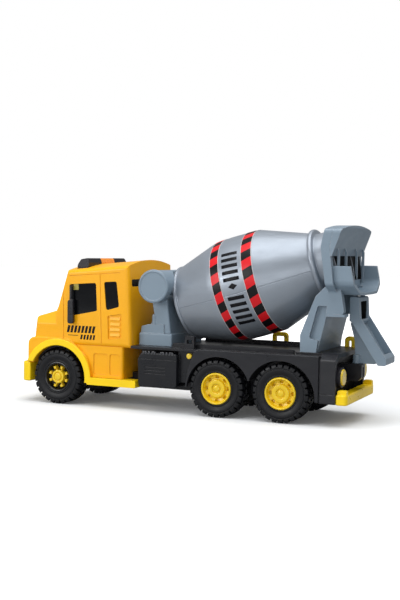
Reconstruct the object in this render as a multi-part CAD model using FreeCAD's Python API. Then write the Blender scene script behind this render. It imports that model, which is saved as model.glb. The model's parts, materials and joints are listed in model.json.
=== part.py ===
import FreeCAD, Part
import math
import os

# Toy cement mixer truck, millimetres.
# Frame: +X to the front bumper, +Y to the truck's left side, +Z up. The origin
# is on the ground under the middle of the overall length.

Vector = FreeCAD.Vector

# ---------------------------------------------------------------- driving sizes
HALF_LENGTH = 183.0          # front bumper face, and chute tip, from the origin
HALF_WIDTH = 52.0            # outer faces of the side skirts
WHEEL_RADIUS = 27.0          # tyre rolling radius, so the axles sit this high
TYRE_WIDTH = 20.0
TYRE_FACE_Y = 51.0           # outer sidewall of every tyre
FRONT_AXLE_X = 140.0
MIDDLE_AXLE_X = -32.0
REAR_AXLE_X = -95.0
DECK_TOP = 63.0              # top of the deck and of the side skirts
PEDESTAL_SEAT = 65.0         # raised rear deck that carries the rear pedestal
CAB_HALF_WIDTH = 48.0
CAB_WALL = 2.2
DRUM_CENTRE = Vector(-43.5, 0.0, 121.4)   # on the drum's axis, under the belly
DRUM_TILT = 16.5             # degrees, mouth end up
FIT = 0.1                    # gap between neighbouring mouldings
TOUCH = 0.02                 # hairline between parts that are glued or clipped together
RUNNING = 0.05               # radial gap of a shaft that turns in its bearing

AXLE_RADIUS = 2.0
AXLE_Z = WHEEL_RADIUS
AXLE_XS = {"front": FRONT_AXLE_X, "middle": MIDDLE_AXLE_X, "rear": REAR_AXLE_X}
SIDES = {"left": 1.0, "right": -1.0}

# ---------------------------------------------------------------- drawing helpers


def xz(y):
    """Places a flat point (u, v) at x = u, z = v in the plane y."""
    return lambda u, v: Vector(u, y, v)


def yz(x):
    """Places a flat point (u, v) at y = u, z = v in the plane x."""
    return lambda u, v: Vector(x, u, v)


def xy(z):
    """Places a flat point (u, v) at x = u, y = v in the plane z."""
    return lambda u, v: Vector(u, v, z)


def rounded_face(corners, place):
    """Flat face through corners (u, v, radius), each corner rounded by its radius."""
    count = len(corners)
    arcs = []
    for index, (u, v, radius) in enumerate(corners):
        corner = Vector(u, v, 0)
        before = Vector(*corners[index - 1][:2], 0) - corner
        after = Vector(*corners[(index + 1) % count][:2], 0) - corner
        before.normalize()
        after.normalize()
        if radius == 0:
            arcs.append((corner, None, corner))
            continue
        half = before.getAngle(after) / 2
        bisector = before + after
        bisector.normalize()
        trim = radius / math.tan(half)
        middle = corner + bisector * (radius / math.sin(half) - radius)
        arcs.append((corner + before * trim, middle, corner + after * trim))
    edges = []
    for index, (start, middle, end) in enumerate(arcs):
        if middle is not None:
            points = [place(p.x, p.y) for p in (start, middle, end)]
            edges.append(Part.Arc(*points).toShape())
        following = arcs[(index + 1) % count][0]
        if (following - end).Length > 1e-6:
            edges.append(Part.makeLine(place(end.x, end.y), place(following.x, following.y)))
    return Part.Face(Part.Wire(edges))


def side_plate(corners, y_low, y_high):
    """Solid with the outline (x, z, radius) between two y planes."""
    return rounded_face(corners, xz(y_low)).extrude(Vector(0, y_high - y_low, 0))


def cross_plate(corners, x_low, x_high):
    """Solid with the outline (y, z, radius) between two x planes."""
    return rounded_face(corners, yz(x_low)).extrude(Vector(x_high - x_low, 0, 0))


def level_plate(corners, z_low, z_high):
    """Solid with the outline (x, y, radius) between two z planes."""
    return rounded_face(corners, xy(z_low)).extrude(Vector(0, 0, z_high - z_low))


def block(x_low, x_high, y_low, y_high, z_low, z_high):
    """Plain box between its six planes."""
    size = (x_high - x_low, y_high - y_low, z_high - z_low)
    return Part.makeBox(*size, Vector(x_low, y_low, z_low))


def rod(x, z, radius, y_low, y_high):
    """Cylinder that lies across the truck."""
    return Part.makeCylinder(radius, y_high - y_low, Vector(x, y_low, z), Vector(0, 1, 0))


def along_truck(x_low, x_high, y, z, radius):
    """Cylinder that lies along the truck."""
    return Part.makeCylinder(radius, x_high - x_low, Vector(x_low, y, z), Vector(1, 0, 0))


def post(x, y, radius, z_low, z_high):
    """Upright cylinder."""
    return Part.makeCylinder(radius, z_high - z_low, Vector(x, y, z_low), Vector(0, 0, 1))


def turned(profile, x, z):
    """Solid of revolution about the axle line at (x, z); profile is (y, radius, rounding)."""
    face = rounded_face(profile, lambda u, v: Vector(x, u, z + v))
    return face.revolve(Vector(x, 0, z), Vector(0, 1, 0), 360)


def mirrored(shape):
    """The same shape on the other side of the truck."""
    return shape.mirror(Vector(0, 0, 0), Vector(0, 1, 0))


def on_side(shape, side):
    """A shape drawn for the left side, moved to the named side."""
    return shape if side == "left" else mirrored(shape)


def both_sides(shape):
    """A left-side shape together with its mirror image."""
    return [shape, mirrored(shape)]


def fuse(shapes):
    """One solid from touching shapes, with merged faces."""
    return shapes[0].multiFuse(shapes[1:]).removeSplitter()


def cut(shape, tools):
    """The shape less every tool."""
    return shape.cut(Part.makeCompound(tools))


def round_edges(shape, radius, wanted):
    """Fillets the edges that the test accepts."""
    return shape.makeFillet(radius, [edge for edge in shape.Edges if wanted(edge)])


def runs_along(edge, axis):
    """True for a straight edge parallel to the axis."""
    if not isinstance(edge.Curve, Part.Line):
        return False
    return abs(edge.Curve.Direction.dot(axis)) > 0.999


def save(name, shapes):
    """Writes one sub-part, a single solid or a group of separate ones."""
    solids = []
    for shape in shapes if isinstance(shapes, list) else [shapes]:
        solids.extend(shape.Solids)
    shape = solids[0] if len(solids) == 1 else Part.makeCompound(solids)
    if not shape.isValid():
        raise ValueError(name + " is not a valid shape")
    shape.exportStep("parts/" + name + ".step")


# ---------------------------------------------------------------- chassis
CHASSIS_BOTTOM = 20.0
CHASSIS_HALF_WIDTH = 26.0
CHASSIS_WALL = 2.5
CHASSIS_FRONT = 166.0
CHASSIS_REAR = -125.0
RAIL_TOP = 34.0
FRONT_ARCH_RADIUS = 31.5
LINER_WALL = 1.6
LINER_FACE_Y = 44.2          # outer edge of the front wheel wells
REAR_ARCHES = ((-34.5, 25.0, 32.0), (-95.0, 24.0, 33.0))   # centre x, centre z, radius
ARCH_LINER = 1.5
SCREW_XS = (100.0, 36.0, -63.5, -118.0)
SCREW_Y = 17.0
SCREW_RADIUS = 1.5
SCREW_HEAD_RADIUS = 3.0
SCREW_HEAD_DEPTH = 2.2
SCREW_LENGTH = 7.6
SCREW_RECESS = 0.4           # screw heads sit this far inside the floor
CROSS_SLOT = (1.8, 0.35)     # half length and half width of the cross recess
CROSS_DEPTH = 0.9
POST_RADIUS = 4.5
BEARING_RADIUS = 5.0
BATTERY_X = 68.0             # middle of the battery hatch
BATTERY_HALF = (9.0, 19.0)
CELL_RADIUS = 5.8
CELL_HEIGHT = 5.4


def chassis_base():
    """Tray with a flat floor, axle bearings through both rails and screw posts."""
    outline = (CHASSIS_REAR, CHASSIS_FRONT, -CHASSIS_HALF_WIDTH, CHASSIS_HALF_WIDTH)
    tray = block(*outline, CHASSIS_BOTTOM, RAIL_TOP)
    inner = CHASSIS_HALF_WIDTH - CHASSIS_WALL
    hollow = block(CHASSIS_REAR + CHASSIS_WALL, CHASSIS_FRONT - CHASSIS_WALL, -inner, inner,
                   CHASSIS_BOTTOM + CHASSIS_WALL, RAIL_TOP)
    tray = tray.cut(hollow)
    tray = round_edges(tray, 2.0, lambda edge: runs_along(edge, Vector(0, 0, 1))
                       and abs(edge.CenterOfMass.y) > CHASSIS_HALF_WIDTH - 0.1)
    adds = [tray]
    for x in AXLE_XS.values():
        for sign in SIDES.values():
            y_outer = sign * (CHASSIS_HALF_WIDTH + 2.0)
            y_inner = sign * (inner - 2.0)
            adds.append(rod(x, AXLE_Z, BEARING_RADIUS, min(y_outer, y_inner),
                            max(y_outer, y_inner)))
    post_base = CHASSIS_BOTTOM + SCREW_HEAD_DEPTH
    for x in SCREW_XS:
        for y in (SCREW_Y, -SCREW_Y):
            adds.append(post(x, y, POST_RADIUS, CHASSIS_BOTTOM, RAIL_TOP - 6.0))
    adds.extend(both_sides(wheel_liner()))
    base = fuse(adds)
    tools = []
    for x in AXLE_XS.values():
        tools.append(rod(x, AXLE_Z, AXLE_RADIUS + RUNNING, -HALF_WIDTH, HALF_WIDTH))
    for x in SCREW_XS:
        for y in (SCREW_Y, -SCREW_Y):
            tools.append(post(x, y, SCREW_RADIUS, CHASSIS_BOTTOM, RAIL_TOP))
            tools.append(post(x, y, SCREW_HEAD_RADIUS + FIT, CHASSIS_BOTTOM, post_base + FIT))
    half_x, half_y = BATTERY_HALF
    tools.append(block(BATTERY_X - half_x, BATTERY_X + half_x, -half_y, half_y,
                       CHASSIS_BOTTOM, CHASSIS_BOTTOM + CHASSIS_WALL))
    return cut(base, tools)


def wheel_liner():
    """Half-round well behind a front wheel, hung from the chassis rail."""
    outer = FRONT_ARCH_RADIUS - 0.3
    rail = CHASSIS_HALF_WIDTH
    ring = rod(FRONT_AXLE_X, AXLE_Z, outer, rail - 1.0, LINER_FACE_Y)
    ring = ring.cut(rod(FRONT_AXLE_X, AXLE_Z, outer - LINER_WALL, rail + 1.0, LINER_FACE_Y))
    upper = block(FRONT_AXLE_X - 40, CHASSIS_FRONT, rail - 1.0, LINER_FACE_Y, AXLE_Z, AXLE_Z + 40)
    return ring.common(upper)


def chassis_screws():
    """Pan-head self-tapping screws under the chassis."""
    low = CHASSIS_BOTTOM + SCREW_RECESS
    neck = CHASSIS_BOTTOM + SCREW_HEAD_DEPTH
    long, narrow = CROSS_SLOT
    screws = []
    for x in SCREW_XS:
        for y in (SCREW_Y, -SCREW_Y):
            head = post(x, y, SCREW_HEAD_RADIUS, low, neck)
            shank = post(x, y, SCREW_RADIUS - RUNNING, neck, CHASSIS_BOTTOM + SCREW_LENGTH)
            cross = [block(x - long, x + long, y - narrow, y + narrow, low, low + CROSS_DEPTH),
                     block(x - narrow, x + narrow, y - long, y + long, low, low + CROSS_DEPTH)]
            screws.append(cut(fuse([head, shank]), cross))
    return screws


def battery_cover():
    """Hatch that fills the opening in the chassis floor."""
    half_x, half_y = BATTERY_HALF
    plate = block(BATTERY_X - half_x + FIT, BATTERY_X + half_x - FIT, -half_y + FIT, half_y - FIT,
                  CHASSIS_BOTTOM + 0.2, CHASSIS_BOTTOM + CHASSIS_WALL)
    ribs = []
    for index in range(5):
        y = 6.0 + index * 2.2
        ribs.append(block(BATTERY_X - 5, BATTERY_X + 5, y, y + 1, CHASSIS_BOTTOM + 0.2,
                          CHASSIS_BOTTOM + 0.7))
    return cut(plate, ribs)


def button_cells():
    """Three button cells side by side above the battery hatch."""
    cells = []
    low = CHASSIS_BOTTOM + CHASSIS_WALL + 0.5
    for index in (-1, 0, 1):
        cell = post(BATTERY_X, index * 2.05 * CELL_RADIUS, CELL_RADIUS, low, low + CELL_HEIGHT)
        cells.append(cell.makeFillet(0.5, cell.Edges))
    return cells


# ---------------------------------------------------------------- deck and skirts
DECK_FRONT = 58.0
DECK_FLOOR = DECK_TOP - 0.6  # deck surface between the skirts
RAIL_LINE = 66.8             # top of the two inner deck rails
RAIL_FRONT = 19.0            # the rails end just behind the front pedestal
WEB_INNER_Y = 22.0           # the webs under the deck stand on the chassis walls
SKIRT_WALL = 3.0
SKIRT_REAR = -131.0
SKIRT_BOTTOM = 21.5
BULKHEAD_FRONT = SKIRT_REAR - FIT
BULKHEAD_REAR = -146.0
BULKHEAD_HALF_WIDTH = 50.0
RECESS_FLOOR = BULKHEAD_REAR + 9.0   # back of the recess that holds the tail lamps


def arch_rods(extra):
    """Cylinders across the truck that follow both rear wheel arches."""
    return [rod(x, z, radius + extra, -60, 60) for x, z, radius in REAR_ARCHES]


def deck_body():
    """Deck plate, webs, both skirts and the arch liners as one moulding."""
    corners = [(-0.7, 27.0, 0), (-3.4, 45.0, 20), (-9.5, 60.5, 2), (-13.4, DECK_TOP, 3),
               (SKIRT_REAR, DECK_TOP, 0), (SKIRT_REAR, SKIRT_BOTTOM, 1), (-70.0, SKIRT_BOTTOM, 0),
               (-70.0, 27.0, 0)]
    skirt = side_plate(corners, HALF_WIDTH - SKIRT_WALL, HALF_WIDTH)
    skirt = round_edges(skirt, 0.8, lambda edge: edge.CenterOfMass.y > HALF_WIDTH - 0.1
                        and edge.CenterOfMass.z > 40)
    skirt = cut(skirt, arch_rods(0))
    deck = block(SKIRT_REAR, DECK_FRONT, -HALF_WIDTH + 2.0, HALF_WIDTH - 2.0,
                 DECK_TOP - 3.0, DECK_FLOOR)
    liners = []
    inner_y = CHASSIS_HALF_WIDTH + 2.5
    outside = arch_rods(ARCH_LINER)
    inside = arch_rods(0)
    for (x, z, radius), outer, inner in zip(REAR_ARCHES, outside, inside):
        keep = block(x - radius + 1, x + radius - 1, inner_y, HALF_WIDTH - 0.5, 37.0, DECK_FLOOR)
        liners.append(outer.cut(inner).common(keep))
    rail = side_plate([(-104.0, DECK_TOP - 2.0, 0), (-104.0, RAIL_LINE, 1.5),
                       (RAIL_FRONT - 2.0, RAIL_LINE, 2), (RAIL_FRONT, DECK_TOP - 2.0, 0)], 38.0, 41.0)
    web_low = RAIL_TOP + FIT
    web = block(-118.0, DECK_FRONT, WEB_INNER_Y, CHASSIS_HALF_WIDTH, web_low, DECK_TOP - 2.0)
    end_wall = block(DECK_FRONT - 3.0, DECK_FRONT, -CHASSIS_HALF_WIDTH, CHASSIS_HALF_WIDTH,
                     web_low, DECK_TOP - 2.0)
    raised = side_plate([(-107.0, DECK_TOP - 1.0, 0), (-105.0, PEDESTAL_SEAT, 0),
                         (SKIRT_REAR, PEDESTAL_SEAT, 0), (SKIRT_REAR, DECK_TOP - 1.0, 0)],
                        -41.0, 41.0)
    left = fuse([skirt, rail] + liners)
    return fuse([deck, raised, end_wall] + both_sides(left) + both_sides(web))


def rear_bulkhead():
    """Rear corner block; its back face is recessed for the tail lamps."""
    half = BULKHEAD_HALF_WIDTH
    corners = [(-half, 20.5, 1.5), (half, 20.5, 1.5), (half, 59.5, 2), (half - 9, 65, 3),
               (-half + 9, 65, 3), (-half, 59.5, 2)]
    solid = cross_plate(corners, BULKHEAD_REAR, BULKHEAD_FRONT)
    recess = [(-half + 4, 24, 2), (half - 4, 24, 2), (half - 4, 56, 2), (half - 11, 61, 2),
              (-half + 11, 61, 2), (-half + 4, 56, 2)]
    solid = solid.cut(cross_plate(recess, BULKHEAD_REAR - 1, RECESS_FLOOR))
    groove = block(BULKHEAD_REAR - 1, BULKHEAD_FRONT + 1, half - 0.6, half + 1, 29.0, 29.8)
    return cut(solid, both_sides(groove))


# ---------------------------------------------------------------- side boxes
BOX_REAR = 8.0
BOX_FRONT = 48.5
BOX_BOTTOM = 23.5
BOX_TOP = 57.0
STEP_REAR = -9.0             # recessed step between the box and the skirt
STEP_FACE = 46.0
MARKER_X = -3.2
HOOP_STOCK = 4.2             # thickness of the yellow deck hoops


def side_box():
    """Louvred box under the deck, drawn for the left side."""
    corners = [(BOX_REAR, BOX_BOTTOM + 1, 3), (BOX_FRONT, BOX_BOTTOM, 3),
               (BOX_FRONT + 1.0, BOX_TOP - 6, 8), (BOX_FRONT - 3.0, BOX_TOP, 3), (BOX_REAR, BOX_TOP, 3)]
    box = side_plate(corners, 30.0, HALF_WIDTH)
    box = round_edges(box, 1.2, lambda edge: edge.CenterOfMass.y > HALF_WIDTH - 0.1)
    grooves = []
    for index in range(3):
        z = 43.6 - index * 3.1
        grooves.append(side_plate([(20.0, z - 0.5, 0.4), (42.0, z - 0.5, 0.4), (42.0, z + 0.5, 0.4),
                                   (20.0, z + 0.5, 0.4)], HALF_WIDTH - 0.9, HALF_WIDTH + 1))
    lid = block(BOX_REAR - 1, BOX_FRONT + 2, HALF_WIDTH - 0.7, HALF_WIDTH + 1, 50.6, 51.4)
    step = side_plate([(STEP_REAR, 30.0, 0), (BOX_REAR + 1, 30.0, 0),
                       (BOX_REAR + 1, DECK_TOP - 3 - FIT, 0), (STEP_REAR, DECK_TOP - 3 - FIT, 0)],
                      30.0, STEP_FACE)
    return cut(fuse([box, step]), grooves + [lid] + arch_rods(ARCH_LINER + FIT))


def side_markers():
    """Small round marker lamps behind the side boxes."""
    lens = rod(MARKER_X, 55.6, 2.8, STEP_FACE, STEP_FACE + 3.0)
    lens = round_edges(lens, 1.0, lambda edge: edge.CenterOfMass.y > STEP_FACE + 2.9)
    return both_sides(lens)


def deck_clips():
    """Slotted clips that lock the deck at both sides."""
    x_low = -8.0
    x_high = 1.5
    y_low = 44.0
    clip = side_plate([(x_low, DECK_FLOOR, 0), (x_high, DECK_FLOOR, 0), (x_high, 74.6, 1.5),
                       (x_low, 74.6, 1.5)], y_low, y_low + 4.0)
    slot = side_plate([(x_low + 2, 67.0, 0.8), (x_high - 2, 67.0, 0.8), (x_high - 2, 71.0, 0.8),
                       (x_low + 2, 71.0, 0.8)], y_low - 1, y_low + 5)
    return both_sides(clip.cut(slot))


def deck_hoops():
    """Two yellow hoops on the right edge of the deck."""
    hoops = []
    for x, y, width, height, z_low in ((-61.0, -45.5, 17.0, 13.0, DECK_FLOOR),
                                       (-136.0, -34.0, 11.0, 10.5, PEDESTAL_SEAT)):
        half = width / 2
        hole = half - HOOP_STOCK
        outer = side_plate([(x - half, z_low, 0), (x + half, z_low, 0), (x + half, z_low + height, 4.5),
                            (x - half, z_low + height, 4.5)], y - HOOP_STOCK / 2, y + HOOP_STOCK / 2)
        outer = round_edges(outer, 1.6, lambda edge: edge.CenterOfMass.z > z_low + 1.0)
        top = z_low + height - HOOP_STOCK
        inner = side_plate([(x - hole, z_low - 1, 0), (x + hole, z_low - 1, 0), (x + hole, top, 1.2),
                            (x - hole, top, 1.2)], y - HOOP_STOCK, y + HOOP_STOCK)
        hoops.append(outer.cut(inner))
    return hoops


# ---------------------------------------------------------------- cab
ROOF_FRONT = Vector(127.0, 0.0, 139.0)      # centre line of the crowned roof
ROOF_BACK = Vector(70.0, 0.0, 144.3)
CROWN_RADIUS = 195.0
CAB_SPLIT = 59.5             # upper body overhangs the lower body at this height
LOWER_HALF_WIDTH = 47.0
LOWER_REAR = 68.0            # rear wall of the cab below the split
FENDER_FACE_Y = 49.5
LIP_FACE_Y = 51.2
LIP_RADIUS = 38.0
CAB_BOTTOM = 29.0
NOSE_BOTTOM = 40.6           # underside of the nose, just above the bumper
BELT_SEAM = 0.5              # depth and width of the door seams
WINDSCREEN_LEAN = ((143.6, 93.5), (129.8, 139.0))   # foot and head of the windscreen plane
WINDSCREEN_FRAME = [(-41, 97.0, 5), (41, 97.0, 5), (37, 130.0, 6), (-37, 130.0, 6)]
FRONT_WINDOW = [(128.6, 119.6, 2), (98.3, 121.8, 2), (96.8, 94.3, 2), (125.3, 88.6, 2)]
REAR_WINDOW_PANE = [(89.4, 122.9, 2), (75.5, 123.8, 2), (72.4, 99.1, 2), (86.7, 95.2, 2)]
BACK_SLOT = [(-42, 119.0, 2), (42, 119.0, 2), (42, 126.0, 2), (-42, 126.0, 2)]
NOSE_FACE_X = 169.5
NOSE_SEAT_X = 168.3          # floor of the grille slots and headlamp rings
GRILLE_SLOTS = 5
HEADLAMP_Y = 35.0
HEADLAMP_Z = 73.0
HEADLAMP_RADIUS = 6.5
BUTTON_REAR = 111.6
BUTTON_FRONT = 123.9
BUTTON_PITCH = 27.0
BUTTON_SLOPE = 4.0           # the outer ends of the row lean in by this much
BUTTON_GAP = 0.15
BOARD_Z = 122.0              # underside of the circuit board, which hangs from the roof
BOARD_THICKNESS = 1.6


def crown(radius):
    """Long cylinder whose top line is the roof's centre line."""
    along = ROOF_FRONT - ROOF_BACK
    along.normalize()
    down = Vector(along.z, 0, -along.x)
    start = ROOF_BACK + down * CROWN_RADIUS - along * 60
    return Part.makeCylinder(radius, 240, start, along)


def grown(corners, amount):
    """A convex outline (u, v, radius) moved outwards by the amount, or inwards if negative."""
    count = len(corners)
    area = sum(corners[i - 1][0] * corners[i][1] - corners[i][0] * corners[i - 1][1]
               for i in range(count))
    outward = amount if area > 0 else -amount
    result = []
    for index, (u, v, radius) in enumerate(corners):
        corner = Vector(u, v, 0)
        arriving = corner - Vector(*corners[index - 1][:2], 0)
        leaving = Vector(*corners[(index + 1) % count][:2], 0) - corner
        arriving.normalize()
        leaving.normalize()
        normal = Vector(arriving.y + leaving.y, -arriving.x - leaving.x, 0)
        normal.normalize()
        stretch = outward / normal.dot(Vector(leaving.y, -leaving.x, 0))
        moved = corner + normal * stretch
        result.append((moved.x, moved.y, max(radius + amount, 0.3)))
    return result


def upper_body():
    """Solid outside form of the cab above the split, with rounded edges."""
    corners = [(59.0, CAB_SPLIT, 1.0), (63.0, 150.0, 7.0), (126.5, 150.0, 0), (143.6, 93.5, 9),
               (167.0, 86.3, 4), (NOSE_FACE_X, 66.0, 1), (NOSE_FACE_X, CAB_SPLIT, 0)]
    body = side_plate(corners, -CAB_HALF_WIDTH, CAB_HALF_WIDTH).common(crown(CROWN_RADIUS))
    body = round_edges(body, 4.0, lambda edge: abs(abs(edge.CenterOfMass.y) - CAB_HALF_WIDTH) < 1.0
                       and edge.CenterOfMass.z > CAB_SPLIT + 2
                       and edge.CenterOfMass.x < 143)
    return body


def hood_nose():
    """Hood with chamfered shoulders in front of the windscreen."""
    half = CAB_HALF_WIDTH
    section = [(-half, 36.0, 0), (half, 36.0, 0), (half, 79.5, 3), (half - 7, 93.5, 4),
               (-half + 7, 93.5, 4), (-half, 79.5, 3)]
    return cross_plate(section, 100.0, 175.0)


def cab_outside():
    """Outer form of the whole cab, before hollowing."""
    nose_zone = block(143.0, 175.0, -60, 60, CAB_SPLIT - 1, 100)
    body = upper_body()
    nose = body.common(nose_zone).common(hood_nose())
    back = body.cut(nose_zone)
    half = LOWER_HALF_WIDTH
    lower = level_plate([(LOWER_REAR, -half, 3), (NOSE_FACE_X, -half, 0), (NOSE_FACE_X, half, 0),
                         (LOWER_REAR, half, 3)], CAB_BOTTOM, CAB_SPLIT + 0.5)
    lower = lower.cut(block(160.0, 175.0, -60, 60, 0, NOSE_BOTTOM))
    fender_line = [(172.0, NOSE_BOTTOM, 0), (175.5, NOSE_BOTTOM, 0), (175.5, 64.0, 7), (166.0, 66.3, 3),
                   (128.0, 66.3, 14), (106.0, 48.0, 14), (103.0, CAB_BOTTOM, 0), (112.0, CAB_BOTTOM, 0)]
    fender = side_plate(fender_line, 34.0, FENDER_FACE_Y)
    fender = round_edges(fender, 1.5, lambda edge: edge.CenterOfMass.y > FENDER_FACE_Y - 0.1
                         and edge.CenterOfMass.z > NOSE_BOTTOM + 0.5)
    return fuse([back, nose, lower] + both_sides(fender))


def cab_hollow():
    """Space inside the cab, open at the bottom."""
    inner = CAB_HALF_WIDTH - CAB_WALL
    corners = [(61.5, CAB_SPLIT + 2, 0), (65.3, 150.0, 5), (124.0, 150.0, 0), (141.1, 91.5, 4),
               (165.0, 84.5, 2), (167.2, 66.0, 0), (167.2, CAB_SPLIT + 2, 0)]
    upper = side_plate(corners, -inner, inner).common(crown(CROWN_RADIUS - CAB_WALL))
    upper = upper.cut(block(143.0, 175.0, -60, 60, CAB_SPLIT, 100).cut(
        cross_plate([(-inner, 36, 0), (inner, 36, 0), (inner, 78.5, 2), (inner - 6.5, 91.5, 3),
                     (-inner + 6.5, 91.5, 3), (-inner, 78.5, 2)], 142.0, 176.0)))
    lower_inner = LOWER_HALF_WIDTH - CAB_WALL
    lower = block(LOWER_REAR + CAB_WALL, NOSE_FACE_X - CAB_WALL, -lower_inner, lower_inner,
                  CAB_BOTTOM - 1, CAB_SPLIT + 3)
    return upper.fuse(lower)


def chassis_gap():
    """Notch in the cab's rear wall that straddles the chassis rails."""
    half = CHASSIS_HALF_WIDTH + FIT
    return block(LOWER_REAR - 2, LOWER_REAR + CAB_WALL + 2, -half, half, CAB_BOTTOM - 1, RAIL_TOP + FIT)


def cab_windows():
    """Openings for the windscreen, side panes and back slot."""
    half = CAB_HALF_WIDTH
    panes = []
    for corners in (FRONT_WINDOW, REAR_WINDOW_PANE):
        pane = side_plate(corners, half - 5, half + 2)
        panes.extend(both_sides(pane))
    screen = cross_plate(WINDSCREEN_FRAME, 120.0, 150.0)
    slot = cross_plate(BACK_SLOT, 55.0, 67.0)
    return panes + [screen, slot]


def cab_seams():
    """Door seams, belt line, louvre and lower panels cut into the left side."""
    face = CAB_HALF_WIDTH - BELT_SEAM
    far = CAB_HALF_WIDTH + 2
    seams = []
    lines = [((134.4, 64.0), (135.2, 121.5)), ((91.3, 60.0), (93.9, 131.2)),
             ((128.0, 128.0), (72.0, 132.4))]
    for (x1, z1), (x2, z2) in lines:
        start = Vector(x1, 0, z1)
        along = Vector(x2, 0, z2) - start
        along.normalize()
        side = Vector(along.z, 0, -along.x) * (BELT_SEAM / 2)
        corners = [start - side, start + side, Vector(x2, 0, z2) + side, Vector(x2, 0, z2) - side]
        seams.append(side_plate([(c.x, c.z, 0) for c in corners], face, far))
    louvre = side_plate([(85.0, 90.0, 1.5), (69.4, 92.3, 1.5), (69.2, 69.0, 1.5), (84.1, 66.7, 1.5)],
                        CAB_HALF_WIDTH - 1.2, far)
    slats = []
    for index in range(4):
        z = 71.6 + index * 5.2
        slat = cross_plate([(CAB_HALF_WIDTH - 2.0, z - 1.6, 0), (CAB_HALF_WIDTH - 0.1, z - 1.6, 0.4),
                            (CAB_HALF_WIDTH - 0.9, z + 1.8, 0.4), (CAB_HALF_WIDTH - 2.0, z + 1.8, 0)],
                           71.5, 82.4)
        slats.append(slat)
    seams.append(cut(louvre, slats))
    low_face = LOWER_HALF_WIDTH - 0.8
    for x_low, x_high in ((71.0, 82.5), (84.5, 100.5)):
        seams.append(side_plate([(x_low, 32.0, 2), (x_high, 32.0, 2), (x_high, 52.5, 2),
                                 (x_low, 52.5, 2)], low_face, far))
    return seams


def cab_front_details():
    """Grille slots and round lamp seats in the nose."""
    tools = []
    for index in range(GRILLE_SLOTS):
        z = 46.0 + index * 5.6
        tools.append(cross_plate([(-24, z, 1.2), (24, z, 1.2), (24, z + 3, 1.2), (-24, z + 3, 1.2)],
                                 NOSE_SEAT_X, NOSE_FACE_X + 7))
    for y in (-HEADLAMP_Y, HEADLAMP_Y):
        lamp = along_truck(NOSE_SEAT_X, NOSE_FACE_X + 7, y, HEADLAMP_Z, HEADLAMP_RADIUS)
        boss = along_truck(NOSE_SEAT_X, NOSE_SEAT_X + 0.8, y, HEADLAMP_Z, HEADLAMP_RADIUS - 1.3)
        tools.append(lamp.cut(boss))
    return tools


def button_well():
    """Opening in the roof for the row of buttons."""
    half = 1.5 * BUTTON_PITCH + 0.2
    return block(BUTTON_REAR - 0.25, BUTTON_FRONT + 0.25, -half, half, 128.0, 150.0)


def cab_shell():
    """One-piece hollow cab with fenders, window openings and seams."""
    shell = cab_outside().cut(cab_hollow())
    tools = cab_windows() + both_sides(Part.makeCompound(cab_seams())) + cab_front_details()
    arch = rod(FRONT_AXLE_X, AXLE_Z, FRONT_ARCH_RADIUS, -60, 60)
    below = block(FRONT_AXLE_X - FRONT_ARCH_RADIUS, FRONT_AXLE_X + FRONT_ARCH_RADIUS, -60, 60,
                  0, AXLE_Z)
    shell = cut(shell, tools + [arch, below, button_well(), chassis_gap()])
    hanger = block(105.0, 108.5, 38.0, 40.0, BOARD_Z + BOARD_THICKNESS, 135.8)
    return fuse([shell] + both_sides(hanger))


def window_insert():
    """Dark side panes on one shared flange, drawn for the left side."""
    inner = CAB_HALF_WIDTH - CAB_WALL
    flange = side_plate([(131.0, 124.5, 3), (74.0, 126.5, 3), (70.5, 93.0, 3), (127.0, 86.5, 3)],
                        inner - 1.3, inner - FIT)
    seats = []
    for corners in (FRONT_WINDOW, REAR_WINDOW_PANE):
        seats.append(side_plate(grown(corners, -FIT), inner - 0.5, CAB_HALF_WIDTH - 0.7))
    insert = fuse([flange] + seats)
    return insert.common(block(0, 200, 0, 60, 80, 132))


def windscreen():
    """Dark windscreen that follows the lean of the cab's face."""
    (x_foot, z_foot), (x_head, z_head) = WINDSCREEN_LEAN
    slab = side_plate([(x_foot - 0.7, z_foot, 0), (x_head - 0.7, z_head, 0),
                       (x_head - 3.2, z_head, 0), (x_foot - 3.2, z_foot, 0)], -45, 45)
    return slab.common(cross_plate(grown(WINDSCREEN_FRAME, -FIT), 115.0, 150.0))


def back_window():
    """Dark strip in the slot at the back of the cab."""
    slab = side_plate([(61.2, 110.0, 0), (62.3, 135.0, 0), (64.0, 135.0, 0), (62.9, 110.0, 0)], -45, 45)
    return slab.common(cross_plate(grown(BACK_SLOT, -FIT), 55.0, 68.0))


def fender_trim():
    """Arch lip and running board, drawn for the left side."""
    y_low = FENDER_FACE_Y + FIT
    lip = rod(FRONT_AXLE_X, AXLE_Z, LIP_RADIUS, y_low, LIP_FACE_Y)
    lip = lip.cut(rod(FRONT_AXLE_X, AXLE_Z, FRONT_ARCH_RADIUS, 0, 60))
    front_end = block(FRONT_AXLE_X, FRONT_AXLE_X + 50, 0, 60, -20, NOSE_BOTTOM + 0.3)
    bottom = block(FRONT_AXLE_X - 50, FRONT_AXLE_X, 0, 60, -20, 23.0)
    lip = cut(lip, [front_end, bottom])
    lip = round_edges(lip, 0.7, lambda edge: edge.CenterOfMass.y > LIP_FACE_Y - 0.1)
    board = side_plate([(52.0, 21.6, 1), (105.5, 21.6, 1), (108.2, 28.2, 0.5), (107.0, 28.7, 0),
                        (52.0, 28.7, 1)], 38.0, LIP_FACE_Y)
    board = board.cut(rod(FRONT_AXLE_X, AXLE_Z, FRONT_ARCH_RADIUS, 0, 60))
    return fuse([lip, board])


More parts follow.
